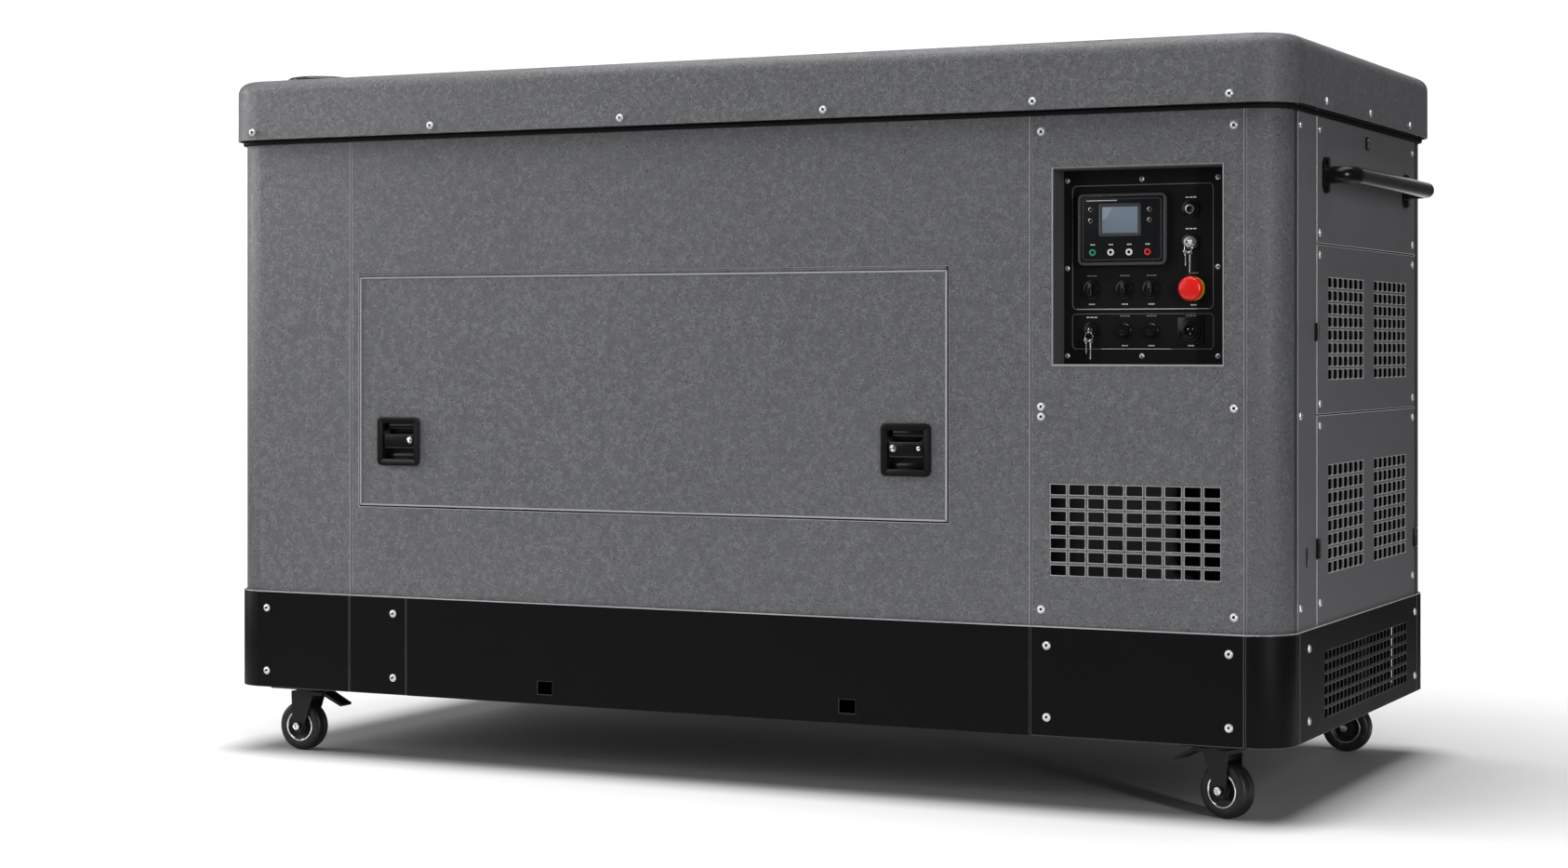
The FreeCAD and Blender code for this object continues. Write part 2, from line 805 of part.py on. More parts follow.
def make_roof_lid():
    """The lid: a deep tray turned over, with rounded corners and top edge."""
    body = new_body("lid")
    sketch = new_sketch(body, "XY_Plane", casing_top)
    x = right + lid_over
    y = rear + lid_over
    draw_rectangle(sketch, -x, x, -y, y)
    pad(body, sketch, lid_high)
    round_edges(body, lid_round, along(2))
    round_edges(body, lid_edge_round, at_level(2, lid_top))
    doc.recompute()
    base = body.Tip
    heights = [face.CenterOfMass.z for face in base.Shape.Faces]
    open_face = heights.index(min(heights)) + 1
    shell = body.newObject("PartDesign::Thickness", "Shell")
    shell.Base = (base, [f"Face{open_face}"])
    shell.Reversed = True
    bind(shell, "Value", sheet_thick)
    hole = new_sketch(body, "XY_Plane", lid_top)
    draw_circle(hole, left + cap_inset, front + cap_front, cap_spigot + pin_clear)
    pocket(body, hole, sheet_thick * 2)
    return keep(body, "roof_lid")


def make_roof_cap():
    """The low round filler cap that turns in the lid."""
    centre = (left + cap_inset, front + cap_front)
    low = lid_top + control_face_gap
    body = new_body("cap")
    sketch = new_sketch(body, "XY_Plane", low)
    draw_circle(sketch, *centre, cap_radius)
    pad(body, sketch, cap_high)
    round_edges(body, cap_high * 0.3, at_level(2, low + cap_high))
    spigot = new_sketch(body, "XY_Plane", lid_top - lid_lap)
    draw_circle(spigot, *centre, cap_spigot)
    pad(body, spigot, lid_lap + control_face_gap)
    return keep(body, "roof_filler_cap")


def one_handle(side):
    """A tube handle with two flanges; side is 1 for the right end, -1 for the left."""
    wall = right if side > 0 else left
    z = casing_top - grip_drop
    y_low = front + grip_front
    y_high = y_low + grip_long
    x_grip = wall + grip_out * side
    x_bend = wall + (grip_out - grip_bend) * side
    x_pair = (wall, x_bend) if side > 0 else (x_bend, wall)
    x_flange = wall + flange_thick * side
    flange_x = (wall, x_flange) if side > 0 else (x_flange, wall)
    pieces = [
        rod("y", y_low + grip_bend, y_high - grip_bend, (x_grip, z), grip_radius),
        rod("x", *x_pair, (y_low, z), grip_radius),
        rod("x", *x_pair, (y_high, z), grip_radius),
    ]
    turns = {1: (-90, 0), -1: (180, 90)}[side]
    bends = (y_low + grip_bend, y_high - grip_bend)
    for turn, y in zip(turns, bends):
        elbow = doc.addObject("Part::Torus", "Elbow")
        bind(elbow, "Radius1", grip_bend)
        bind(elbow, "Radius2", grip_radius)
        elbow.Angle3 = 90
        place(elbow, x_bend, y, z, FreeCAD.Rotation(V(0, 0, 1), turn))
        pieces.append(elbow)
    tube = fuse(pieces)
    feet = []
    for y in (y_low, y_high):
        flange_y = (y - flange_wide / 2, y + flange_wide / 2)
        end_rise = flange_high / 2 - flange_wide / 2
        foot = [box(flange_x, flange_y, (z - end_rise, z + end_rise))]
        for end_z in (z - end_rise, z + end_rise):
            foot.append(rod("x", *flange_x, (y, end_z), flange_wide / 2))
        head_x = x_flange + screw_proud * side
        bolt_x = (x_flange, head_x) if side > 0 else (head_x, x_flange)
        for rise in (-0.37, 0.37):
            bolt_z = z + flange_high * rise
            foot.append(rod("x", *bolt_x, (y, bolt_z), screw_radius))
        feet.append(fuse(foot))
    return fuse([tube] + feet)


def make_end_handles():
    return keep(group([one_handle(1), one_handle(-1)]), "end_handles")


# --------------------------------------------------------------------- screws
def front_screw(x, z, face):
    return rod("y", face - screw_proud, face, (x, z), screw_radius)


def right_screw(y, z, face):
    return rod("x", face, face + screw_proud, (y, z), screw_radius)


def make_casing_screws():
    """Button-head screws on the lid, the front, the right end and the skirts."""
    lid_face = front - lid_over
    lid_z = casing_top + lid_lap * 0.7
    skirt_face = front - skirt_step
    pieces = []
    lid_first = left + cap_inset * 0.38
    lid_spots = [lid_first + lid_screw_pitch * i for i in range(4)]
    lid_spots += [right_seam + lid_lap * 0.5, corner_seam - lid_lap]
    for x in lid_spots:
        pieces.append(front_screw(x, lid_z, lid_face))
        pieces.append(front_screw(x, lid_z, rear + lid_over + screw_proud))
    edge_x = corner_seam - screw_inset
    seam_x = right_seam + screw_inset
    for x in (seam_x, edge_x):
        for z in (casing_top - screw_inset * 1.9, recess_bottom - screw_inset * 3.7,
                  base_top + screw_inset * 1.5):
            pieces.append(front_screw(x, z, front))
    pieces.append(front_screw(seam_x, recess_bottom - screw_inset * 4.6, front))
    top_z = base_top - screw_inset * 1.7
    low_z = floor_gap + screw_inset * 1.7
    for x in (left + screw_inset * 4.2, left_seam + small_cover_wide - screw_inset * 1.6,
              right_seam + screw_inset * 1.6, edge_x - screw_inset * 0.4):
        pieces.append(front_screw(x, top_z, skirt_face))
        pieces.append(front_screw(x, low_z, skirt_face))
    for part in (0.2, 0.5, 0.8):
        y = front + body_deep * part
        pieces.append(right_screw(y, lid_z, right + lid_over))
    levels = (panel_top - lid_lap - screw_inset * 1.6, side_mid_top + screw_inset,
              side_mid_top - screw_inset, side_low_top + screw_inset,
              side_low_top - screw_inset, base_top + screw_inset * 2)
    for z in levels:
        pieces.append(right_screw(strip_seam + screw_inset, z, right))
        pieces.append(right_screw(rear_corner - screw_inset, z, right))
    for z in (levels[0], side_low_top, levels[-1]):
        pieces.append(right_screw(front_corner + screw_inset, z, right))
    for y in (front_corner + screw_inset * 3, rear_corner - screw_inset):
        for z in (top_z, low_z):
            pieces.append(right_screw(y, z, right + skirt_step))
    plate_left = recess_left + screw_inset * 0.45
    plate_right = recess_right - screw_inset * 1.35
    middle_x = (plate_left + plate_right) / 2
    plate_low = recess_bottom + screw_inset * 0.85
    plate_high = recess_top - screw_inset
    middle_z = (plate_low + plate_high) / 2
    small = screw_radius * 0.62
    for x, z in ((plate_left, plate_low), (middle_x, plate_low), (plate_right, plate_low),
                 (plate_left, middle_z), (plate_right, middle_z),
                 (plate_left, plate_high), (middle_x, plate_high), (plate_right, plate_high)):
        pieces.append(rod("y", plate_face - screw_proud * 0.7, plate_face, (x, z), small))
    return keep(group(pieces), "casing_screws")


# --------------------------------------------------------------- service door
def make_service_door():
    """The flush front door sheet with openings for the two latches."""
    body = front_sheet("door", door_left, door_right, door_bottom,
                       hinge_z - knuckle_radius - knuckle_gap)
    sketch = new_sketch(body, "XZ_Plane", -front)
    reach_x = latch_wide / 2 - latch_rim + latch_wall
    reach_z = latch_high / 2 - latch_rim + latch_wall
    for x in (latch_left_x, latch_right_x):
        draw_rectangle(sketch, x - reach_x, x + reach_x, latch_z - reach_z, latch_z + reach_z)
    pocket_through(body, sketch)
    return keep(body, "service_door")


latch_left_x = door_left + latch_left_inset
latch_right_x = door_right - latch_right_inset
latch_z = door_bottom + latch_rise


def latch_cup(x):
    """A rimmed cup let into the door, with bores for the paddle's pins."""
    reach_x = latch_wide / 2 - latch_rim
    reach_z = latch_high / 2 - latch_rim
    body = new_body("cup")
    pan = new_sketch(body, "XZ_Plane", -front - latch_deep)
    draw_rectangle(pan, x - reach_x - latch_wall + pin_clear, x + reach_x + latch_wall - pin_clear,
                   latch_z - reach_z - latch_wall + pin_clear,
                   latch_z + reach_z + latch_wall - pin_clear)
    pad(body, pan, latch_deep)
    rim = new_sketch(body, "XZ_Plane", -front)
    draw_rectangle(rim, x - latch_wide / 2, x + latch_wide / 2,
                   latch_z - latch_high / 2, latch_z + latch_high / 2)
    pad(body, rim, latch_proud)
    rim_edge = (latch_wide / 2).value

    def rim_corner(edge):
        mid = edge.CenterOfMass
        return along(1)(edge) and abs(abs(mid.x - x.value) - rim_edge) < 0.01

    round_edges(body, latch_round, rim_corner)
    hollow = new_sketch(body, "XZ_Plane", -front + latch_proud)
    draw_rectangle(hollow, x - reach_x, x + reach_x, latch_z - reach_z, latch_z + reach_z)
    pocket(body, hollow, latch_deep + latch_proud - latch_wall)
    bore = new_sketch(body, "YZ_Plane", sized(x))
    draw_circle(bore, paddle_pin_y, paddle_pin_z, paddle_pin_radius + pin_clear)
    cutter = pocket(body, bore, latch_wide)
    cutter.SideType = "Symmetric"
    return body


paddle_pin_y = front + paddle_thick / 2
paddle_pin_z = latch_z - paddle_high / 2 + paddle_thick / 2


def make_latch_cups():
    return keep(group([latch_cup(latch_left_x), latch_cup(latch_right_x)]), "latch_cups")


def make_latch_paddle(x, lock_side, label):
    """The flap that turns on two stub pins at its lower edge, with its lock face."""
    reach_x = latch_wide / 2 - latch_rim - paddle_clear
    y = (front, front + paddle_thick)
    z = (latch_z - paddle_high / 2, latch_z + paddle_high / 2)
    flap = box((x - reach_x, x + reach_x), y, z)
    pin_reach = latch_wide / 2 - latch_rim + latch_wall * 0.7
    pin = rod("x", x - pin_reach, x + pin_reach, (paddle_pin_y, paddle_pin_z), paddle_pin_radius)
    lock_x = x + (reach_x - lock_radius * 1.5) * lock_side
    lock = rod("y", front - lock_proud, front + paddle_thick / 2,
               (lock_x, latch_z + paddle_thick / 3), lock_radius)
    return keep(fuse([flap, pin, lock]), label)


def hinge_spans():
    """Seven knuckle spans along the door's top edge."""
    part = door_wide / 7
    return [(door_left + part * i, door_left + part * (i + 1) - knuckle_gap) for i in range(7)]


def make_hinge_fixed():
    """Fixed leaf, four knuckles and the through pin."""
    spans = hinge_spans()
    leaf_y = (front + sheet_thick, front + sheet_thick + leaf_thick)
    centre = (hinge_y, hinge_z)
    pieces = [rod("x", door_left, spans[-1][1], centre, pin_radius)]
    for low, high in spans[0::2]:
        pieces.append(rod("x", low, high, centre, knuckle_radius))
        web_y = (hinge_y, leaf_y[1])
        web_z = (hinge_z + pin_radius, hinge_z + knuckle_radius)
        pieces.append(box((low, high), web_y, web_z))
    leaf_z = (hinge_z + pin_radius + knuckle_gap, hinge_z + leaf_high)
    pieces.append(box((spans[0][0], spans[-1][1]), leaf_y, leaf_z))
    return keep(fuse(pieces), "door_hinge_fixed")


def make_hinge_moving():
    """Moving leaf with three bored knuckles."""
    spans = hinge_spans()
    leaf_y = (front + sheet_thick, front + sheet_thick + leaf_thick)
    centre = (hinge_y, hinge_z)
    pieces = []
    for low, high in spans[1::2]:
        pieces.append(rod("x", low, high, centre, knuckle_radius))
        web_y = (hinge_y, leaf_y[1])
        web_z = (hinge_z - knuckle_radius, hinge_z - pin_radius)
        pieces.append(box((low, high), web_y, web_z))
    leaf_z = (hinge_z - leaf_high, hinge_z - pin_radius - knuckle_gap)
    pieces.append(box((spans[0][0], spans[-1][1]), leaf_y, leaf_z))
    bore = rod("x", door_left, spans[-1][1], centre, pin_radius + pin_clear)
    return keep(cut(fuse(pieces), bore), "door_hinge_moving")


# ------------------------------------------------------------------- controls
def make_control_box():
    """Four walls lining the control recess."""
    wall = sheet_thick * 0.7
    y = (front, plate_face)
    x_low = recess_left
    x_high = recess_right
    z_low = recess_bottom
    z_high = recess_top
    pieces = [
        box((x_low, x_low + wall), y, (z_low, z_high)),
        box((x_high - wall, x_high), y, (z_low, z_high)),
        box((x_low + wall, x_high - wall), y, (z_low, z_low + wall)),
        box((x_low + wall, x_high - wall), y, (z_high - wall, z_high)),
    ]
    return keep(group(pieces), "control_box")


def make_control_plate():
    """The mounting plate at the back of the recess."""
    body = new_body("plate")
    sketch = new_sketch(body, "XZ_Plane", -plate_face - sheet_thick)
    draw_rectangle(sketch, recess_left, recess_right, recess_bottom, recess_top)
    pad(body, sketch, sheet_thick)
    hole = new_sketch(body, "XZ_Plane", -plate_face)
    draw_circle(hole, estop_x, row_one, stem_radius + control_clear)
    pocket_through(body, hole)
    return keep(body, "control_plate")


case_x = recess_left + case_left
case_z = recess_bottom + case_rise


def key_spots():
    """Centres of the four keys below the screen."""
    return [(case_x + key_left + key_pitch * i, case_z + key_rise) for i in range(4)]


def make_controller_case():
    """The controller's housing with a screen recess and four key wells."""
    body = new_body("case")
    sketch = new_sketch(body, "XZ_Plane", -plate_face)
    draw_rectangle(sketch, case_x, case_x + case_wide, case_z, case_z + case_high)
    pad(body, sketch, case_thick)
    round_edges(body, case_round, along(1))
    face = plate_face - case_thick
    round_edges(body, case_round * 0.4, at_level(1, face))
    window = new_sketch(body, "XZ_Plane", -face)
    low_x = case_x + screen_left
    low_z = case_z + screen_rise
    draw_rectangle(window, low_x, low_x + screen_wide, low_z, low_z + screen_high)
    pocket(body, window, screen_sunk * 3)
    wells = new_sketch(body, "XZ_Plane", -face)
    for x, z in key_spots():
        draw_circle(wells, x, z, key_radius + control_clear)
    pocket(body, wells, key_travel * 5)
    return keep(body, "controller_case")


def make_controller_screen():
    """The display window, sunk a little below the housing's face."""
    low_x = case_x + screen_left
    low_z = case_z + screen_rise
    face = plate_face - case_thick
    pane = box((low_x, low_x + screen_wide), (face + screen_sunk, face + screen_sunk * 3),
               (low_z, low_z + screen_high))
    return keep(pane, "controller_screen")


def make_controller_keys():
    """Four round keys standing a little proud of the housing."""
    face = plate_face - case_thick
    labels = ("start", "automatic", "manual", "stop")
    for label, (x, z) in zip(labels, key_spots()):
        key = rod("y", face - key_travel * 1.2, face + key_travel * 3, (x, z), key_radius)
        keep(key, f"controller_key_{label}")


def ring(x, z, outer, inner, low_y, high_y):
    """A plain ring with its axis along Y."""
    disc = rod("y", low_y, high_y, (x, z), outer)
    bore = rod("y", low_y, high_y, (x, z), inner)
    return cut(disc, bore)


column_x = [recess_left + c for c in (column_one, column_two, column_three, column_four)]
row_one = recess_bottom + row_one_rise
row_two = recess_bottom + row_two_rise
key_switch_z = recess_bottom + key_switch_rise
button_z = recess_bottom + button_rise
estop_x = column_x[3] + estop_shift


def make_switch_bezels():
    """Rings behind each control, and the two fuse caps and the auxiliary socket."""
    y = (plate_face - bezel_thick, plate_face)
    spots = [(column_x[0], row_one), (column_x[1], row_one), (column_x[2], row_one),
             (column_x[0], row_two), (column_x[3], key_switch_z)]
    pieces = [ring(x, z, bezel_radius, stem_radius + control_clear, *y) for x, z in spots]
    wide_y = (plate_face - bezel_thick * 1.5, plate_face)
    bore = button_radius + control_clear
    pieces.append(ring(column_x[3], button_z, bezel_radius, bore, *wide_y))
    for x in (column_x[1], column_x[2]):
        cap_face = plate_face - knob_thick
        pieces.append(rod("y", cap_face, plate_face, (x, row_two), knob_radius))
    deep_face = plate_face - bezel_thick * 3
    socket = ring(column_x[3], row_two, bezel_radius * 1.15, bezel_radius * 0.6,
                  deep_face, plate_face - bezel_thick)
    floor = rod("y", plate_face - bezel_thick, plate_face, (column_x[3], row_two),
                bezel_radius * 1.15)
    pieces.append(fuse([socket, floor]))
    return keep(group(pieces), "switch_bezels")


def stem(x, z, radius, from_y):
    """A stub that turns or slides in a bezel's bore."""
    return rod("y", from_y, plate_face - control_face_gap, (x, z), radius)


def make_knob(x, label):
    """A selector knob: a low drum with a raised grip bar."""
    back = plate_face - bezel_thick - control_face_gap
    face = back - knob_thick
    drum = rod("y", face + knob_thick / 2, back, (x, row_one), knob_radius)
    bar = box((x - knob_radius * 0.28, x + knob_radius * 0.28), (face, back),
              (row_one - knob_radius * 0.9, row_one + knob_radius * 0.9))
    return keep(fuse([drum, bar, stem(x, row_one, stem_radius, back)]), label)


def make_key_switch(x, z, hang, label):
    """A lock barrel with its key in it and a second key on the same ring."""
    back = plate_face - bezel_thick - control_face_gap
    barrel_face = back - bezel_thick * 1.5
    barrel = rod("y", barrel_face, back, (x, z), bezel_radius * 0.72)
    bow_face = barrel_face - knob_thick
    bow = box((x - key_travel * 1.2, x + key_travel * 1.2), (bow_face, barrel_face),
              (z - bezel_radius * 0.7, z + bezel_radius * 0.5))
    tag_y = (bow_face + key_travel * 2, bow_face + key_travel * 4)
    top = z - bezel_radius * 0.5
    wide = key_radius * 0.7
    left_tag = box((x - key_travel * 7, x - key_travel * 7 + wide), tag_y, (z - hang * 0.8, top))
    right_tag = box((x + key_travel * 2, x + key_travel * 2 + wide), tag_y, (z - hang, top))
    link = box((x - key_travel * 7, x + key_travel * 2 + wide), tag_y, (top - wide, top))
    pieces = [barrel, bow, left_tag, right_tag, link, stem(x, z, stem_radius, back)]
    return keep(fuse(pieces), label)


def make_push_button():
    """The start button in its chromed ring."""
    x = column_x[3]
    low = plate_face - bezel_thick * 1.5 - button_travel - control_face_gap
    button = rod("y", low, plate_face - button_travel - control_face_gap, (x, button_z),
                 button_radius)
    return keep(button, "push_button")


def make_estop():
    """The mushroom-headed stop button and its collar."""
    x = estop_x
    z = row_one
    collar = ring(x, z, collar_radius, stem_radius + control_clear,
                  plate_face - collar_thick, plate_face)
    keep(collar, "estop_collar")
    back = plate_face - collar_thick - estop_travel - control_face_gap
    body = new_body("mushroom")
    sketch = new_sketch(body, "XZ_Plane", -back)
    draw_circle(sketch, x, z, estop_radius)
    pad(body, sketch, estop_head)
    round_edges(body, estop_head * 0.28, at_level(1, back - estop_head))
    inner = new_sketch(body, "XZ_Plane", -plate_face)
    draw_circle(inner, x, z, stem_radius)
    pad(body, inner, estop_travel + collar_thick + control_face_gap)
    return keep(body, "estop_button")


# -------------------------------------------------------------------- casters
CASTERS = {
    "front_left": (-1, -1, 0),
    "front_right": (1, -1, 160),
    "rear_left": (-1, 1, 0),
    "rear_right": (1, 1, 0),
}


def caster_centre(name):
    """Plan position of one caster's swivel."""
    side, depth, _ = CASTERS[name]
    x = right - caster_right_inset if side > 0 else left + caster_left_inset
    y = (rear - caster_side_inset) if depth > 0 else (front + caster_side_inset)
    return x, y


def stand_at(thing, name):
    """Turn a caster piece about its swivel and bring it under its plate."""
    x, y = caster_centre(name)
    turn = FreeCAD.Rotation(V(0, 0, 1), CASTERS[name][2])
    place(thing, x, y, sized(0), turn)
    return thing


plate_low = floor_gap - caster_plate_thick
race_low = plate_low - kingpin_radius
fork_top = race_low - control_face_gap
fork_low = fork_top - kingpin_radius


def make_caster_plates():
    """Four top plates, each with its raceway disc and kingpin."""
    pieces = []
    for name in CASTERS:
        x, y = caster_centre(name)
        pad_x = (x - caster_plate_long / 2, x + caster_plate_long / 2)
        pad_y = (y - caster_plate_wide / 2, y + caster_plate_wide / 2)
        plate = box(pad_x, pad_y, (plate_low, floor_gap))
        race = rod("z", race_low, plate_low, (x, y), fork_inner / 2 + fork_plate * 2)
        pin = rod("z", fork_low - fork_plate, race_low, (x, y), kingpin_radius)
        pieces.append(fuse([plate, race, pin]))
    return keep(group(pieces), "caster_plates")


def make_caster_fork(name):
    """A slanted fork with its raceway cup and axle bolt."""
    body = new_body("fork_sides")
    side = new_sketch(body, "XZ_Plane", sized(0))
    hub_x = -caster_trail
    reach = wheel_radius * 0.6
    draw_polygon(side, [
        (-reach, fork_top), (reach * 0.85, fork_top),
        (hub_x + axle_radius * 3, wheel_radius * 0.95),
        (hub_x + axle_radius * 1.6, wheel_radius * 0.72),
        (hub_x - axle_radius * 1.6, wheel_radius * 0.72),
        (hub_x - axle_radius * 3, wheel_radius * 0.95)])
    pad(body, side, fork_inner + fork_plate * 2, both_ways=True)
    gap = new_sketch(body, "XZ_Plane", sized(0))
    draw_rectangle(gap, wheel_radius * -2, wheel_radius * 2, sized(0), fork_low)
    middle = body.newObject("PartDesign::Pocket", "Between")
    middle.Profile = gap
    middle.SideType = "Symmetric"
    bind(middle, "Length", fork_inner)
    cup = rod("z", fork_low, fork_top, (sized(0), sized(0)), fork_inner / 2 + fork_plate)
    bore = rod("z", fork_low - fork_plate, fork_top, (sized(0), sized(0)),
               kingpin_radius + axle_clear)
    hub = (hub_x, wheel_radius)
    half = fork_inner / 2 + fork_plate
    axle = rod("y", -half, half, hub, axle_radius)
    near_head = rod("y", -half - axle_radius, -half, hub, axle_radius * 1.7)
    far_head = rod("y", half, half + axle_radius, hub, axle_radius * 1.7)
    frame = cut(fuse([body, cup]), bore)
    pieces = [frame, axle, near_head, far_head]
    if name in ("front_left", "front_right"):
        ear_x = (reach * 0.5, pedal_pivot_x + axle_radius * 1.5)
        ear_z = (fork_low, fork_top)
        for y in ((-half, -half + fork_plate), (half - fork_plate, half)):
            pieces.append(box(ear_x, y, ear_z))
    whole = fuse(pieces)
    if name in ("front_left", "front_right"):
        hole = rod("y", -half, half, (pedal_pivot_x, pedal_pivot_z), pedal_pin + axle_clear)
        whole = cut(whole, hole)
    return keep(stand_at(whole, name), f"caster_fork_{name}")


pedal_pin = axle_radius / 2
pedal_pivot_x = wheel_radius * 0.78
pedal_pivot_z = (fork_low + fork_top) / 2


def make_caster_wheel(name):
    """A wheel with a rounded tread and a proud hub, bored for the axle."""
    body = new_body("tyre")
    sketch = new_sketch(body, "XZ_Plane", -(wheel_wide / 2))
    draw_circle(sketch, -caster_trail, wheel_radius, wheel_radius)
    pad(body, sketch, wheel_wide)
    round_edges(body, wheel_wide * 0.2, lambda edge: edge.Length > wheel_radius.value)
    hub = rod("y", -(hub_wide / 2), hub_wide / 2, (-caster_trail, wheel_radius), hub_radius)
    bore = rod("y", -(hub_wide / 2), hub_wide / 2, (-caster_trail, wheel_radius),
               axle_radius + axle_clear)
    whole = cut(fuse([body, hub]), bore)
    return keep(stand_at(whole, name), f"caster_wheel_{name}")


def make_caster_brake(name):
    """The foot lever on the fork's side away from the wheel."""
    body = new_body("lever")
    side = new_sketch(body, "XZ_Plane", sized(0))
    tip_x = pedal_pivot_x + pedal_reach * 0.72
    tip_z = pedal_pivot_z - pedal_reach * 0.34
    draw_polygon(side, [
        (pedal_pivot_x - pedal_pin * 2, pedal_pivot_z - pedal_pin * 1.3),
        (pedal_pivot_x + pedal_pin * 3, pedal_pivot_z - pedal_pin * 1.5),
        (tip_x, tip_z), (tip_x + pedal_pin, tip_z + pedal_pin * 2),
        (pedal_pivot_x + pedal_pin * 4, pedal_pivot_z + pedal_pin * 1.4),
        (pedal_pivot_x - pedal_pin * 2, pedal_pivot_z + pedal_pin * 1.4)])
    pad(body, side, fork_inner - seam_gap, both_ways=True)
    half = fork_inner / 2 + fork_plate * 0.8
    pin = rod("y", -half, half, (pedal_pivot_x, pedal_pivot_z), pedal_pin)
    return keep(stand_at(fuse([body, pin]), name), f"caster_brake_{name}")


# --------------------------------------------------------------- running gear
shaft_z = engine_foot + engine_high * 0.6


def make_engine_block():
    """Crankcase, head, covers and exhaust stub in one casting group."""
    x_low = engine_left - cross_wide / 2
    x_high = engine_left + engine_long
    half = engine_wide / 2
    block_z = (engine_foot + mount_high * 0.25, engine_foot + engine_high)
    block = box((x_low, x_high), (-half * 0.8, half * 0.8), block_z)
    foot_z = (engine_foot, block_z[0])
    feet_y = (-(half + mount_radius), half + mount_radius)
    feet = [box((x - mount_radius, x + mount_radius), feet_y, foot_z)
            for x in (x_low, x_high - cross_wide / 2)]
    head_top = block_z[1] + head_high
    head = box((x_low + mount_radius, x_high - mount_radius), (-half * 0.62, half * 0.62),
               (block_z[1], head_top))
    cover = box((x_low + mount_radius * 2, x_high - mount_radius * 2),
                (-half * 0.4, half * 0.4), (head_top, head_top + head_high * 0.3))
    return keep(fuse([block, head, cover] + feet), "engine_block")


def make_alternator():
    """The alternator drum with end bells and feet on its mounts."""
    x_low = engine_left + engine_long
    x_high = alternator_right
    drum = rod("x", x_low, x_high - cross_wide * 0.5, (sized(0), shaft_z), alternator_radius)
    bell = rod("x", x_high - cross_wide * 0.5, x_high, (sized(0), shaft_z),
               alternator_radius * 0.8)
    foot_x = (x_high - cross_wide, x_high)
    reach = alternator_radius * 0.75
    foot = box(foot_x, (-reach, reach), (engine_foot, shaft_z - alternator_radius * 0.6))
    return keep(fuse([drum, bell, foot]), "alternator")


radiator_x = left + corner_wide
fan_z = base_top + radiator_high * 0.5


def make_radiator():
    """Radiator core, side frames, feet on the base and the fan's spindle."""
    x = (radiator_x, radiator_x + radiator_thick)
    half = radiator_wide / 2
    z = (tray_top, base_top + radiator_high)
    core = box(x, (-half, half), z)
    spindle_end = x[1] + fan_thick + rail_wide
    spindle = rod("x", x[1], spindle_end, (sized(0), fan_z), spindle_radius)
    bearing = rod("x", x[1], x[1] + rail_wide * 0.6, (sized(0), fan_z), spindle_radius * 3)
    return keep(fuse([core, spindle, bearing]), "radiator")


def make_radiator_fan():
    """A six-bladed fan, bored to run on the spindle."""
    low = radiator_x + radiator_thick + rail_wide * 0.6 + control_face_gap
    high = low + fan_thick
    centre = (sized(0), fan_z)
    hub = rod("x", low, high, centre, fan_hub_radius)
    start = (sheet_thick * -0.5, blade_wide * -0.5, fan_hub_radius * 0.85)
    blades = []
    for number in range(6):
        blade = doc.addObject("Part::Box", "Blade")
        bind(blade, "Length", sheet_thick)
        bind(blade, "Width", blade_wide)
        bind(blade, "Height", fan_radius - fan_hub_radius * 0.85)
        turn = FreeCAD.Rotation(V(1, 0, 0), 60 * number)
        pitch = FreeCAD.Rotation(V(0, 0, 1), 15)
        lean = turn.multiply(pitch)
        sides = [lean.multVec(side) for side in (V(1, 0, 0), V(0, 1, 0), V(0, 0, 1))]
        corner = [start[0] * sides[0][axis] + start[1] * sides[1][axis] + start[2] * sides[2][axis]
                  for axis in range(3)]
        place(blade, (low + high) / 2 + corner[0], corner[1], corner[2] + fan_z, lean)
        blades.append(blade)
    bore = rod("x", low, high, centre, spindle_radius + axle_clear)
    return keep(cut(fuse([hub] + blades), bore), "radiator_fan")


def make_muffler():
    """The muffler drum on its exhaust riser from the cylinder head."""
    x_low = engine_left - muffler_long * 0.25
    x_high = x_low + muffler_long
    head_top = engine_foot + engine_high + head_high * 1.3
    z = head_top + muffler_radius * 1.4
    drum = rod("x", x_low, x_high, (sized(0), z), muffler_radius)
    riser_x = engine_left + engine_long * 0.5
    riser = rod("z", head_top, z, (riser_x, sized(0)), muffler_radius * 0.3)
    bracket = box((x_high - rail_wide * 2, x_high - rail_wide), (-frame_bar, frame_bar),
                  (z + muffler_radius * 0.8, ceiling))
    return keep(fuse([drum, riser, bracket]), "muffler")


def make_battery():
    """The starting battery with its two posts."""
    x_low = alternator_right + rail_wide
    y_low = -(battery_wide / 2) - alternator_radius
    top = tray_top + battery_high
    case = box((x_low, x_low + battery_long), (y_low, y_low + battery_wide), (tray_top, top))
    posts = [rod("z", top, top + rail_wide * 0.3, (x_low + battery_long * part,
                                                  y_low + battery_wide * 0.2), spindle_radius)
             for part in (0.15, 0.85)]
    return keep(fuse([case] + posts), "battery")


port_z = side_low_top
gas_port_x = right_seam + grille_wide * 0.35
gland_x = gas_port_x + grille_wide * 0.4
port_radius = port_bore + port_wall


def cut_ports(body):
    """Clearance holes for the two ports in the back sheet."""
    sketch = new_sketch(body, "XZ_Plane", -rear)
    for x in (gas_port_x, gland_x):
        draw_circle(sketch, x, port_z, port_radius)
    pocket_through(body, sketch)


def make_service_ports():
    """Two bored bushes through the back sheet: fuel gas in, cable out."""
    pieces = []
    for x in (gas_port_x, gland_x):
        y = (rear - port_out, rear + port_out)
        bush = ring(x, port_z, port_radius, port_bore, *y)
        flange = ring(x, port_z, port_radius * 1.5, port_bore, rear, rear + sheet_thick)
        pieces.append(fuse([bush, flange]))
    return keep(group(pieces), "service_ports")


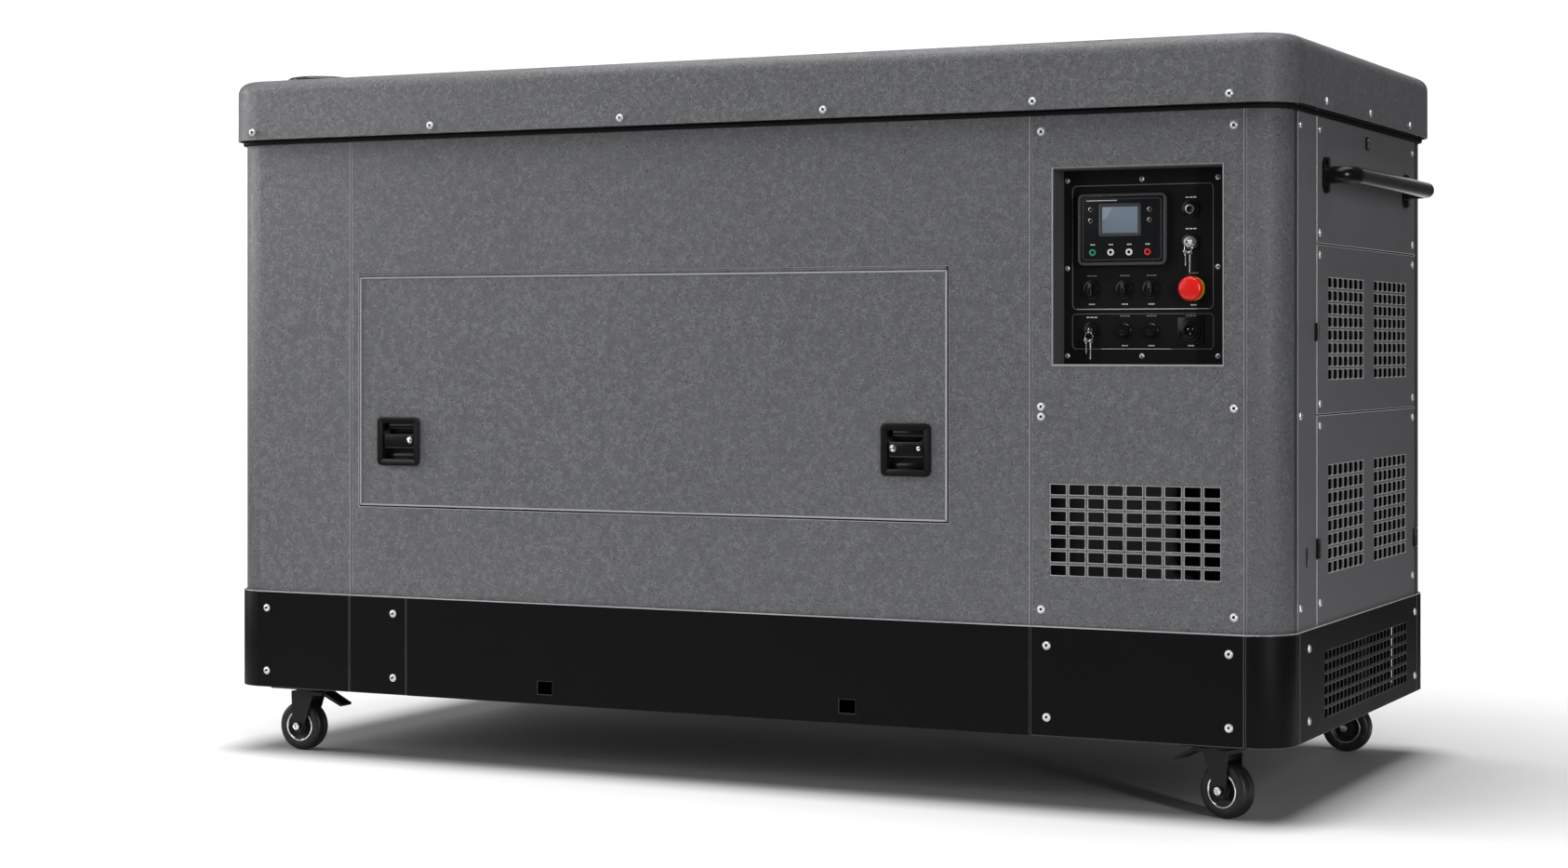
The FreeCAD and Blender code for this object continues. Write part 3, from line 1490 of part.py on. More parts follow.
# ------------------------------------------------------------------- assembly
def make_everything():
    make_base_frame()
    make_front_sill()
    make_sill_covers()
    make_sill_side_grille()
    make_body_frame()
    make_front_left_panel()
    make_front_main_panel()
    make_front_right_panel()
    make_corner_posts()
    make_side_panels()
    make_rear_panel()
    make_left_end_panel()
    make_roof_lid()
    make_roof_cap()
    make_end_handles()
    make_casing_screws()
    make_service_door()
    make_hinge_fixed()
    make_hinge_moving()
    make_latch_cups()
    make_latch_paddle(latch_left_x, 1, "latch_paddle_left")
    make_latch_paddle(latch_right_x, -1, "latch_paddle_right")
    make_control_box()
    make_control_plate()
    make_controller_case()
    make_controller_screen()
    make_controller_keys()
    make_switch_bezels()
    make_knob(column_x[0], "selector_knob_left")
    make_knob(column_x[1], "selector_knob_middle")
    make_knob(column_x[2], "selector_knob_right")
    make_key_switch(column_x[3], key_switch_z, key_switch_hang, "key_switch_upper")
    make_key_switch(column_x[0], row_two, lower_hang, "key_switch_lower")
    make_push_button()
    make_estop()
    make_caster_plates()
    for name in CASTERS:
        make_caster_fork(name)
        make_caster_wheel(name)
    make_caster_brake("front_left")
    make_caster_brake("front_right")
    make_engine_block()
    make_alternator()
    make_radiator()
    make_radiator_fan()
    make_muffler()
    make_battery()
    make_service_ports()


key_switch_hang = key_switch_rise - row_one_rise - estop_radius - seam_gap
lower_hang = row_two_rise - sheet_thick * 2


def check_everything():
    """Stop if any feature is in error or any sub-part is not a sound solid."""
    for thing in doc.Objects:
        if "Invalid" in thing.State or "Error" in thing.State:
            raise RuntimeError(f"{thing.Name} ({thing.Label}) is {thing.State}")
        if thing.TypeId.startswith("Part::") and not thing.Shape.Solids:
            raise RuntimeError(f"{thing.Name} came out empty")
    for thing in nodes:
        shape = thing.Shape
        if shape.isNull() or not shape.isValid() or not shape.Solids:
            raise RuntimeError(f"{thing.Label} has no sound solid")


make_everything()
doc.recompute()
check_everything()
os.makedirs("parts", exist_ok=True)
for node in nodes:
    node.Shape.exportStep(f"parts/{node.Label}.step")
print(len(nodes), "sub-parts written")
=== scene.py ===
import json
import math

import bmesh
import bpy
from mathutils import Euler, Matrix, Vector


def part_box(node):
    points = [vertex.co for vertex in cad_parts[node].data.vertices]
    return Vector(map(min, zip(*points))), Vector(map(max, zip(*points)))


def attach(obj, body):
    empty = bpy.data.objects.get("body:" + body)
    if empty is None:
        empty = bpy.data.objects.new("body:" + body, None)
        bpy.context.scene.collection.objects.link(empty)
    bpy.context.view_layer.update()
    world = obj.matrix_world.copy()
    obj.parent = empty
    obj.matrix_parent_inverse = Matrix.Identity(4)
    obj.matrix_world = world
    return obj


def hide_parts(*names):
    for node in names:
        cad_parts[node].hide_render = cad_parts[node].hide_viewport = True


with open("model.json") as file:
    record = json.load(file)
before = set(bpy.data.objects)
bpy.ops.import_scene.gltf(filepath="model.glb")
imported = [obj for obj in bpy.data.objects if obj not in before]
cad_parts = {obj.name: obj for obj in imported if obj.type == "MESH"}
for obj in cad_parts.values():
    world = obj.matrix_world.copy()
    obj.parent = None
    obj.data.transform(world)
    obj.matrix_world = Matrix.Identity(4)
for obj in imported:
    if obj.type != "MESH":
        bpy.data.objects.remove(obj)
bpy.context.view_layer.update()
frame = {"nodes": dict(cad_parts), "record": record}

MM = 0.001
X, Y, Z = Vector((1, 0, 0)), Vector((0, 1, 0)), Vector((0, 0, 1))


# ---- finishes

class Wire:
    """A socket in a finish: arithmetic on it adds Math nodes."""

    def __init__(self, finish, socket):
        self.finish = finish
        self.socket = socket

    def maths(self, operation, *values):
        return self.finish.add("ShaderNodeMath", {"operation": operation}, dict(enumerate(values)))

    def __add__(self, other):
        return self.maths("ADD", self, other)

    def __sub__(self, other):
        return self.maths("SUBTRACT", self, other)

    def __rsub__(self, other):
        return self.maths("SUBTRACT", other, self)

    def __mul__(self, other):
        return self.maths("MULTIPLY", self, other)

    def __abs__(self):
        return self.maths("ABSOLUTE", self)

    def clipped(self):
        """The value held between none and one."""
        return self.finish.add("ShaderNodeClamp", {}, {"Value": self})

    __radd__ = __add__
    __rmul__ = __mul__


class Finish:
    """A procedural material around one Principled shader."""

    def __init__(self, name, rough=0.5, metal=0.0, gloss=0.5, coat=0.0, coat_rough=0.1):
        self.material = bpy.data.materials.new(name)
        self.material.use_nodes = True
        self.tree = self.material.node_tree
        self.tree.nodes.clear()
        self.shader = self.tree.nodes.new("ShaderNodeBsdfPrincipled")
        out = self.tree.nodes.new("ShaderNodeOutputMaterial")
        self.tree.links.new(self.shader.outputs[0], out.inputs[0])
        self.set("Roughness", rough)
        self.set("Metallic", metal)
        self.set("Specular IOR Level", gloss)
        self.set("Coat Weight", coat)
        self.set("Coat Roughness", coat_rough)
        self.place = self.add("ShaderNodeTexCoord", output="Object")

    def set(self, name, value):
        """Sets one of the shader's own sockets, by a link or a constant."""
        socket = self.shader.inputs[name]
        if isinstance(value, Wire):
            self.tree.links.new(value.socket, socket)
        else:
            socket.default_value = value

    def add(self, kind, settings=None, values=None, output=0):
        """Adds a node: its settings first, then its sockets' values or links."""
        node = self.tree.nodes.new(kind)
        for name, value in (settings or {}).items():
            setattr(node, name, value)
        for name, value in (values or {}).items():
            socket = node.inputs[name]
            if isinstance(value, Wire):
                self.tree.links.new(value.socket, socket)
            else:
                socket.default_value = value
        return Wire(self, node.outputs[output])

    def vector(self, operation, first, second=None, output=0):
        """Works on a place: its mirrored part, a difference, its length."""
        values = {0: first} if second is None else {0: first, 1: second}
        return self.add("ShaderNodeVectorMath", {"operation": operation}, values, output)

    def noise(self, scale, detail=2.0, rough=0.5, swirl=0.0, stretch=(1, 1, 1)):
        """Cloudy noise of so many cells a metre, between none and one."""
        place = self.add("ShaderNodeMapping", {}, {"Vector": self.place, "Scale": stretch})
        return self.add("ShaderNodeTexNoise", {}, {
            "Vector": place, "Scale": scale, "Detail": detail, "Roughness": rough,
            "Distortion": swirl})

    def above(self, value, low, high):
        """A smooth mask that is none below low and one above high."""
        return self.add("ShaderNodeMapRange", {"interpolation_type": "SMOOTHSTEP"}, {
            "Value": value, "From Min": low, "From Max": high})

    def blend(self, mask, first, second):
        """The first colour where the mask is none, the second where it is one."""
        settings = {"data_type": "RGBA"}
        return self.add("ShaderNodeMix", settings, {0: mask, 6: first, 7: second}, output=2)

    def bump(self, height, depth, strength=1.0):
        """Raises the surface by a height wire, in metres at its full value."""
        values = {"Height": height, "Distance": depth, "Strength": strength}
        self.set("Normal", self.add("ShaderNodeBump", {}, values))


def shade(colour, share):
    """A colour made lighter or darker by a share."""
    return tuple(min(1.0, channel * share) for channel in colour[:3]) + (1.0,)


def wrinkle_coat(name, colour, ridge_highlight_share, rough, gloss):
    """Wrinkled powder coat: short curling ridges with a painted highlight along them, and painted shade in
    its pits.
    """
    finish = Finish(name, gloss=gloss)
    curls = finish.noise(185, 2.0, 0.6, 2.2)
    ridge = (1.0 - abs(curls - 0.5) * 13.0).clipped()
    fine = finish.noise(340, 2.0, 0.6, 1.2)
    thread = (1.0 - abs(fine - 0.5) * 9.0).clipped()
    broken = finish.above(finish.noise(95, 3.0, 0.65), 0.44, 0.56)
    ridge_highlight = (ridge * broken + thread * (1.0 - broken) * 0.45).clipped()
    pits = finish.above(finish.noise(270, 2.0, 0.6, 0.5), 0.5, 0.68)
    cloud = finish.noise(2.2, 3.0, 0.6)
    patch = finish.noise(24, 3.0, 0.65)
    tone = (cloud * 0.5 + patch * 0.5).clipped()
    ground = finish.blend(finish.above(tone, 0.3, 0.7), shade(colour, 0.86), shade(colour, 1.12))
    # Painted shade darkens the pits, then a painted highlight lightens the ridges.
    dark = finish.blend(pits * 0.7, ground, shade(colour, 0.3))
    finish.set("Base Color", finish.blend(ridge_highlight * ridge_highlight_share, dark, shade(colour, 5.0)))
    finish.set("Roughness", rough + patch * 0.12 - ridge_highlight * 0.12)
    finish.bump(ridge_highlight * 0.7 - pits * 0.4, 0.6 * MM, 1.0)
    return finish.material


def powder_coat(name, colour, rough, gloss, grain=520, depth=0.05 * MM, mottle=0.12):
    """Smooth powder coat: a fine orange peel under faint clouds of tone."""
    finish = Finish(name, gloss=gloss)
    peel = finish.noise(grain, 2.0, 0.55)
    cloud = finish.noise(5.0, 4.0, 0.6)
    speck = finish.above(finish.noise(310, 2.0, 0.6), 0.56, 0.74)
    ground = finish.blend(cloud, shade(colour, 1 - mottle), shade(colour, 1 + mottle))
    finish.set("Base Color", finish.blend(speck * 0.4, ground, shade(colour, 1.9)))
    finish.set("Roughness", rough + cloud * 0.12 - 0.06)
    finish.bump(peel, depth, 0.6)
    return finish.material


def moulded(name, colour, rough, gloss=0.5, coat=0.0, grain=900, depth=0.02 * MM):
    """Moulded plastic or enamel: a faint skin texture and uneven gloss."""
    finish = Finish(name, gloss=gloss, coat=coat)
    cloud = finish.noise(38, 3.0, 0.6)
    smear = finish.noise(160, 3.0, 0.6)
    finish.set("Base Color", finish.blend(cloud, shade(colour, 0.85), shade(colour, 1.15)))
    finish.set("Roughness", rough + smear * 0.14 - 0.07)
    finish.bump(finish.noise(grain, 2.0, 0.5), depth, 0.5)
    return finish.material


def bright_metal(name, colour, rough, lay=(1, 1, 1), scratch=0.5):
    """Plated or bare metal: fine lay marks and faint dulled patches."""
    finish = Finish(name, metal=1.0)
    marks = finish.noise(1400, 2.0, 0.6, 0.0, lay)
    dull = finish.above(finish.noise(120, 3.0, 0.6), 0.45, 0.75)
    finish.set("Base Color", finish.blend(dull, colour, shade(colour, 0.72)))
    finish.set("Roughness", rough + marks * 0.12 * scratch + dull * 0.12)
    finish.bump(marks, 0.01 * MM, 0.5 * scratch)
    return finish.material


def cast_metal(name, colour, rough, metal, grain=420, depth=0.25 * MM):
    """A cast skin: sandy grain, stains in the low places and worn tops."""
    finish = Finish(name, metal=metal)
    sand = finish.noise(grain, 3.0, 0.7)
    stain = finish.above(finish.noise(26, 4.0, 0.65), 0.4, 0.7)
    ground = finish.blend(stain, colour, shade(colour, 0.55))
    finish.set("Base Color", finish.blend(finish.above(sand, 0.62, 0.8), ground, shade(colour, 1.7)))
    finish.set("Roughness", rough + sand * 0.2 - stain * 0.1)
    finish.bump(sand, depth, 0.6)
    return finish.material


def tyre_rubber(name):
    """Rubber: matt black, greyed by dust where it has rolled."""
    finish = Finish(name, gloss=0.35)
    dust = finish.above(finish.noise(60, 4.0, 0.7), 0.5, 0.8)
    finish.set("Base Color", finish.blend(dust, (0.008, 0.008, 0.009, 1), (0.03, 0.03, 0.031, 1)))
    finish.set("Roughness", 0.45 + dust * 0.25)
    finish.bump(finish.noise(700, 2.0, 0.6), 0.05 * MM, 0.6)
    return finish.material


def display_glass(name):
    """A grey display behind gloss glass, a little lighter towards its top as a painted reflection."""
    finish = Finish(name, coat=1.0, coat_rough=0.05)
    low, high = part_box("controller_screen")
    split = finish.add("ShaderNodeSeparateXYZ", {}, {0: finish.place}, output=2)
    rise = finish.add("ShaderNodeMapRange", {}, {
        "Value": split, "From Min": low.z, "From Max": high.z})
    cloud = finish.noise(90, 2.0, 0.5)
    # Lighter towards the top: a painted reflection, with faint random tone.
    reflection_tone = finish.blend((rise + cloud * 0.15).clipped(), (0.16, 0.2, 0.245, 1), (0.2, 0.26, 0.33, 1))
    finish.set("Base Color", reflection_tone)
    finish.set("Roughness", 0.25 + cloud * 0.1)
    finish.bump(finish.noise(2400, 1.0, 0.5), 0.004 * MM, 0.3)
    return finish.material


DEEP_BLACK = (0.005, 0.005, 0.0055)
SOFT_BLACK = (0.008, 0.008, 0.009)
HIGHLIGHT_GREY = (0.36, 0.363, 0.37)
FINISHES = {
    "casing_grey": wrinkle_coat("wrinkle_grey", (0.062, 0.0635, 0.0675), 0.6, 0.34, 0.6),
    "side_grey": powder_coat("side_grey_coat", (0.116, 0.118, 0.123), 0.5, 0.25),
    "base_black": powder_coat("base_black_coat", (0.0034, 0.0037, 0.0042), 0.5, 0.08),
    "frame_black": powder_coat("frame_black_coat", SOFT_BLACK, 0.55, 0.2),
    "screw_steel": bright_metal("zinc_screw", (0.8, 0.81, 0.83, 1), 0.34),
    "handle_black": moulded("handle_enamel", DEEP_BLACK, 0.22, 0.22),
    "cap_black": moulded("cap_plastic", SOFT_BLACK, 0.4, 0.3),
    "latch_black": moulded("latch_zinc_enamel", DEEP_BLACK, 0.24, 0.35, 0.3),
    "panel_black": powder_coat("panel_black_coat", (0.0058, 0.0062, 0.0068), 0.45, 0.16, 700),
    "controller_black": moulded("controller_plastic", (0.006, 0.0065, 0.0075), 0.36, 0.25),
    "screen_grey": display_glass("display_glass"),
    "key_green": moulded("green_key", (0.02, 0.28, 0.17), 0.35),
    "key_white": moulded("white_key", (0.75, 0.75, 0.75), 0.35),
    "key_red": moulded("red_key", (0.62, 0.03, 0.03), 0.35),
    "knob_black": moulded("knob_phenolic", (0.004, 0.004, 0.0045), 0.2, 0.35, 0.2),
    "lock_chrome": bright_metal("lock_chrome", (0.82, 0.83, 0.84, 1), 0.16),
    "stop_red": moulded("stop_red", (0.74, 0.012, 0.008), 0.3, 0.4, 0.2),
    "stop_yellow": moulded("stop_yellow", (1.0, 0.8, 0.02), 0.38),
    "tyre_black": tyre_rubber("tyre_rubber"),
    "caster_steel": powder_coat("caster_black_coat", (0.0065, 0.0065, 0.007), 0.4, 0.25),
    "engine_iron": cast_metal("engine_casting", (0.3, 0.31, 0.32, 1), 0.5, 0.4),
    "alternator_grey": cast_metal("alternator_casting", (0.13, 0.17, 0.2, 1), 0.5, 0.2),
    "radiator_alloy": cast_metal("radiator_alloy", (0.3, 0.3, 0.31, 1), 0.5, 0.6, 800),
    "fan_black": moulded("fan_nylon", (0.01, 0.01, 0.011), 0.4, 0.3),
    "muffler_steel": bright_metal("muffler_steel", (0.55, 0.53, 0.5, 1), 0.38, (1, 12, 1)),
    "battery_black": moulded("battery_case", (0.01, 0.01, 0.012), 0.45, 0.3),
    "port_brass": bright_metal("port_brass", (0.62, 0.44, 0.17, 1), 0.25),
}
MARK_WHITE = moulded("mark_white_ink", (0.62, 0.62, 0.62), 0.5, 0.2)
MARK_GREY = moulded("mark_grey_ink", (0.2, 0.2, 0.2), 0.5, 0.2)
# Pressed lines a lighter grey than the black plate: a painted highlight.
LINE_HIGHLIGHT_GREY = powder_coat("pressed_line_highlight", (0.1, 0.101, 0.105), 0.3, 0.5)
RECESS_WALL = powder_coat("recess_wall_coat", (0.06, 0.061, 0.064), 0.5, 0.2)
# The controller's rim in a lighter grey than its housing: a painted highlight.
RIM_HIGHLIGHT = moulded("rim_highlight_grey", (0.05, 0.051, 0.054), 0.25, 0.6)
CHANNEL_SHADE = powder_coat("channel_shadow_coat", (0.03, 0.031, 0.033), 0.4, 0.4)
# A near-black band under the lid's rim: a painted shadow.
LID_SHADOW = moulded("lid_shadow_coat", (0.003, 0.003, 0.003), 0.7, 0.15)
DARK_FOAM = moulded("dark_acoustic_foam", (0.006, 0.006, 0.006), 0.9, 0.05, 0, 160, 1.5 * MM)
# Lighter colours for the rounded faces along each sheet's edges: painted highlights.
EDGE_HIGHLIGHT_COATS = {
    "casing_grey": powder_coat("grey_coat_edge_highlight", HIGHLIGHT_GREY, 0.35, 0.5),
    "side_grey": powder_coat("side_coat_edge_highlight", (0.5, 0.503, 0.51), 0.35, 0.5),
    "base_black": powder_coat("black_coat_edge_highlight", (0.06, 0.061, 0.064), 0.35, 0.4),
    "panel_black": powder_coat("plate_coat_edge_highlight", (0.03, 0.031, 0.033), 0.35, 0.4),
}
# A light grey for thin lips and strips: a painted highlight.
PAINTED_EDGE_HIGHLIGHT = powder_coat("painted_edge_highlight", HIGHLIGHT_GREY, 0.35, 0.4)


# ---- shapes

def bevel(shape, edges, size, steps=2):
    """Rounds edges by a size."""
    bmesh.ops.bevel(shape, geom=edges, offset=size, offset_type="OFFSET", segments=steps,
                    profile=0.5, affect="EDGES", clamp_overlap=True, material=-1)


def sharp_edges(shape, angle=0.6):
    """The edges that turn more than an angle in radians."""
    return [edge for edge in shape.edges if edge.calc_face_angle(0) > angle]


def merge(shape):
    """Joins the points that lie on each other."""
    bmesh.ops.remove_doubles(shape, verts=shape.verts, dist=1e-6)


def block(low, high, edge=0.8 * MM, corner=0.0, along=1, steps=2):
    """A box with eased edges; the four edges along one axis may be rounder."""
    shape = bmesh.new()
    low, high = Vector(low), Vector(high)
    size = Matrix.Diagonal((*(high - low), 1))
    bmesh.ops.create_cube(shape, size=1, matrix=Matrix.Translation((low + high) / 2) @ size)
    if corner:
        upright = []
        for side in shape.edges:
            run = side.verts[0].co - side.verts[1].co
            if abs(run[along]) > 0.999 * run.length:
                upright.append(side)
        bevel(shape, upright, corner, 5)
    if edge:
        bevel(shape, sharp_edges(shape), edge, steps)
    return shape


def stand(shape, origin, axis):
    """Moves a shape made round Z to an origin and turns it to an axis."""
    turn = Z.rotation_difference(Vector(axis)).to_matrix().to_4x4()
    bmesh.ops.transform(shape, matrix=Matrix.Translation(origin) @ turn, verts=shape.verts)


def lathe(outline, origin, axis, steps=40):
    """Turns (radius, reach) points round an axis through the origin point."""
    shape = bmesh.new()
    ring = [shape.verts.new((radius, 0, reach)) for radius, reach in outline]
    for pair in zip(ring, ring[1:]):
        shape.edges.new(pair)
    bmesh.ops.spin(shape, geom=shape.verts[:] + shape.edges[:], cent=(0, 0, 0), axis=Z,
                   angle=math.tau, steps=steps, use_merge=True, use_duplicate=False)
    merge(shape)
    stand(shape, origin, axis)
    bmesh.ops.recalc_face_normals(shape, faces=shape.faces)
    return shape


def ring(outer, inner, low, high, origin, axis, edge=0.6 * MM, steps=40):
    """A flat ring with eased edges, from low to high along its axis."""
    outline = [(inner, low), (inner, high - edge), (inner + edge, high), (outer - edge, high),
               (outer - edge * 0.3, high - edge * 0.3), (outer, high - edge), (outer, low), (inner, low)]
    return lathe(outline, origin, axis, steps)


def in_mm(*points):
    """Outline points given in millimetres."""
    return [(radius * MM, reach * MM) for radius, reach in points]


def dome(radius, high, steps=6):
    """The outline of a rounded cap, from its rim up to its top."""
    turns = [math.pi / 2 * step / steps for step in range(steps + 1)]
    return [(radius * math.cos(turn), high * math.sin(turn)) for turn in turns]


def pipe(points, radius, smooth=True, steps=8, closed=False):
    """A round bar along points, with smooth bends."""
    line = bpy.data.curves.new("line", "CURVE")
    line.dimensions = "3D"
    line.bevel_depth = radius
    line.bevel_resolution = steps // 2
    line.resolution_u = 8
    line.use_fill_caps = True
    spline = line.splines.new("NURBS" if smooth else "POLY")
    spline.points.add(len(points) - 1)
    for spot, point in zip(spline.points, points):
        spot.co = (*point, 1)
    if smooth:
        spline.order_u = 3
        spline.use_endpoint_u = not closed
    spline.use_cyclic_u = closed
    holder = bpy.data.objects.new("line", line)
    mesh = bpy.data.meshes.new_from_object(holder)
    shape = bmesh.new()
    shape.from_mesh(mesh)
    merge(shape)
    bpy.data.objects.remove(holder)
    bpy.data.curves.remove(line)
    bpy.data.meshes.remove(mesh)
    return shape


def push(shape, faces, reach, keep=False):
    """Extrudes faces along Y by a reach; keep leaves the first faces in place."""
    moved = bmesh.ops.extrude_face_region(shape, geom=faces, use_keep_orig=keep)["geom"]
    verts = [item for item in moved if isinstance(item, bmesh.types.BMVert)]
    bmesh.ops.translate(shape, vec=(0, reach, 0), verts=verts)


def plate(outline, y_low, y_high, edge=0.5 * MM):
    """A flat plate from (x, z) points, its faces square to Y."""
    shape = bmesh.new()
    face = shape.faces.new([shape.verts.new((x, y_high, z)) for x, z in outline])
    push(shape, [face], y_low - y_high)
    bmesh.ops.recalc_face_normals(shape, faces=shape.faces)
    if edge:
        bevel(shape, sharp_edges(shape), edge, 2)
    return shape


def framed(low, high, y, width, proud, corner):
    """A raised rounded-rectangle line on a face square to -Y."""
    shape = bmesh.new()
    x_size, z_size = high[0] - low[0], high[1] - low[1]
    middle = Vector(((low[0] + high[0]) / 2, y, (low[1] + high[1]) / 2))
    bmesh.ops.create_grid(shape, x_segments=1, y_segments=1, size=0.5)
    upright = Matrix.Translation(middle) @ Matrix.Rotation(math.pi / 2, 4, "X")
    size = Matrix.Diagonal((x_size, z_size, 1, 1))
    bmesh.ops.transform(shape, matrix=upright @ size, verts=shape.verts)
    bmesh.ops.bevel(shape, geom=shape.verts[:], offset=corner, offset_type="OFFSET", segments=6,
                    profile=0.5, affect="VERTICES", clamp_overlap=True, material=-1)
    inner = shape.faces[:]
    bmesh.ops.inset_region(shape, faces=inner, thickness=width, use_boundary=True, use_even_offset=True)
    bmesh.ops.delete(shape, geom=inner, context="FACES")
    push(shape, shape.faces[:], -proud, keep=True)
    bmesh.ops.recalc_face_normals(shape, faces=shape.faces)
    bevel(shape, sharp_edges(shape, 1.2), min(proud, width) * 0.35, 2)
    return shape


def hex_head(origin, axis, radius, proud, steps=24):
    """A button-head screw on its washer, with a six-sided socket."""
    socket = radius * 0.46
    flat = proud * 0.86
    outline = [(0, proud * 0.25), (socket, proud * 0.25), (socket, flat), (socket * 1.12, proud)]
    outline += [(radius * 0.72, proud * 0.92), (radius * 0.9, proud * 0.66), (radius, proud * 0.3)]
    outline += [(radius, proud * 0.16), (radius * 1.18, proud * 0.12), (radius * 1.2, 0)]
    shape = lathe(outline, (0, 0, 0), Z, steps)
    for vert in shape.verts:
        reach = vert.co.xy.length
        if 0 < reach < socket * 1.01:
            turn = math.atan2(vert.co.y, vert.co.x) % (math.pi / 3) - math.pi / 6
            vert.co.xy = vert.co.xy * (math.cos(math.pi / 6) / math.cos(turn))
    stand(shape, origin, axis)
    return shape


def loose_solids(node):
    """Each separate solid of a frame node, as its lowest and highest corners."""
    shape = bmesh.new()
    shape.from_mesh(frame["nodes"][node].data)
    merge(shape)
    seen = set()
    boxes = []
    for start in shape.verts:
        if start in seen:
            continue
        seen.add(start)
        group = [start]
        for vert in group:
            for edge in vert.link_edges:
                other = edge.other_vert(vert)
                if other not in seen:
                    seen.add(other)
                    group.append(other)
        low = Vector([min(vert.co[axis] for vert in group) for axis in range(3)])
        high = Vector([max(vert.co[axis] for vert in group) for axis in range(3)])
        boxes.append((low, high))
    shape.free()
    return boxes


def put(name, data):
    """A new object in the scene."""
    thing = bpy.data.objects.new(name, data)
    bpy.context.scene.collection.objects.link(thing)
    return thing


def make(name, shapes, body, slot, replaces=(), finish=None, smooth=38):
    """Joins shapes into one piece with its finish, on its body."""
    whole = bmesh.new()
    scratch = bpy.data.meshes.new("scratch")
    for shape in shapes:
        shape.to_mesh(scratch)
        shape.free()
        whole.from_mesh(scratch)
    bpy.data.meshes.remove(scratch)
    mesh = bpy.data.meshes.new(name)
    whole.to_mesh(mesh)
    whole.free()
    mesh.shade_smooth()
    mesh.set_sharp_from_angle(angle=math.radians(smooth))
    mesh.materials.append(finish or FINISHES[slot])
    piece = put(name, mesh)
    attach(piece, body)
    if replaces:
        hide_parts(*replaces)


def disc_seat(low, high):
    """A round part that faces -Y: the middle of its back, radius and height."""
    middle = (low + high) / 2
    return Vector((middle.x, high.y, middle.z)), (high.x - low.x) / 2, high.y - low.y


# ---- frame nodes

def dress_frame():
    """Gives each frame node the finish of its slot."""
    for part in frame["record"]["subparts"]:
        node = frame["nodes"][part["node"]]
        node.data.materials.clear()
        node.data.materials.append(FINISHES[part["material_slot"]])
    frame["nodes"]["control_box"].data.materials[0] = RECESS_WALL


def slot_of(node):
    """The material slot that the record gives a frame node."""
    return next(part["material_slot"] for part in frame["record"]["subparts"] if part["node"] == node)


# Panels with many slots, whose flat faces are left as they are.
PIERCED = ("front_right_panel", "side_middle_panel", "side_lower_panel", "rear_panel",
           "left_end_panel", "sill_side_grille")


def ease_edges(node, size, steps=2):
    """Rounds a sheet's edges a little and colours the rounded faces lighter, a painted highlight along its
    seams.
    """
    piece = frame["nodes"][node]
    weld = piece.modifiers.new("weld", "WELD")
    weld.merge_threshold = 0.01 * MM
    if node not in PIERCED:
        flat = piece.modifiers.new("flat", "DECIMATE")
        flat.decimate_type = "DISSOLVE"
        flat.angle_limit = math.radians(0.8)
    edge = piece.modifiers.new("edge", "BEVEL")
    edge.width = size
    edge.segments = steps
    edge.limit_method = "ANGLE"
    edge.angle_limit = math.radians(40)
    # The bevel's faces take the lighter edge colour: a painted highlight.
    piece.data.materials.append(EDGE_HIGHLIGHT_COATS[slot_of(node)])
    edge.material = 1


# The width in millimetres of each panel's rounded edge.
EASED = {
    "front_left_panel": 1.2, "front_main_panel": 1.2, "front_right_panel": 1.0,
    "corner_posts": 1.2, "side_strip": 1.2, "side_upper_panel": 1.2,
    "side_middle_panel": 1.0, "side_lower_panel": 1.0, "rear_panel": 1.0,
    "left_end_panel": 1.0, "front_sill": 1.2, "sill_covers": 1.2,
    "sill_side_grille": 1.0, "service_door": 1.2, "control_box": 0.8,
    "control_plate": 0.6,
}


# ---- fasteners

def make_screws():
    """Every casing screw as a socket button head with its washer, and a black disc in each socket as
    painted shade.
    """
    heads, sockets = [], []
    for low, high in loose_solids("casing_screws"):
        size = high - low
        thin = min(range(3), key=lambda axis: size[axis])
        centre = (low + high) / 2
        outward = Vector((0, 0, 0))
        outward[thin] = math.copysign(1, centre[thin])
        seat = centre - outward * size[thin] / 2
        radius, proud = max(size) * 0.45, size[thin]
        heads.append(hex_head(seat, outward, radius, proud))
        reach = radius * 0.44
        floor, top = proud * 0.2, proud * 0.34
        sockets.append(lathe([(0, floor), (reach, floor), (reach, top), (0, top)], seat, outward, 6))
    make("casing_screw_heads", heads, "casing", "screw_steel", ["casing_screws"])
    # A black disc at the foot of each socket: painted shade in the hole.
    make("casing_screw_sockets", sockets, "casing", "screw_steel",
         finish=FINISHES["knob_black"], smooth=20)


# ---- latches

def latch_cup(low, high):
    """A die-cast dish: rounded rim, deep finger hollow and an upper ledge."""
    rim_y, back_y = low.y, high.y
    seat_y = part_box("service_door")[0].y
    shape = block((low.x, rim_y, low.z), (high.x, seat_y, high.z), 0, 9 * MM, 1)
    fronts = [face for face in shape.faces if face.normal.y < -0.9]
    backs = [face for face in shape.faces if face.normal.y > 0.9]
    bmesh.ops.inset_region(shape, faces=backs, thickness=8 * MM)
    bmesh.ops.inset_region(shape, faces=fronts, thickness=3.5 * MM)
    bmesh.ops.inset_region(shape, faces=fronts, thickness=8 * MM)
    for faces, reach in ((backs, back_y - seat_y), (fronts, back_y - rim_y - 3 * MM)):
        push(shape, faces, reach)
        bmesh.ops.delete(shape, geom=faces, context="FACES")
    bevel(shape, sharp_edges(shape, 0.9), 1.3 * MM, 3)
    middle = (low + high) / 2
    ledge = block((middle.x - 27 * MM, rim_y + 8 * MM, high.z - 22 * MM),
                  (middle.x + 31 * MM, back_y - 3 * MM, high.z - 11 * MM), 1.2 * MM)
    sill = block((middle.x - 30 * MM, rim_y + 14 * MM, low.z + 11 * MM),
                 (middle.x + 30 * MM, back_y - 3 * MM, low.z + 22 * MM), 2 * MM)
    return [shape, ledge, sill]


PADDLE_HALF = 32.4 * MM


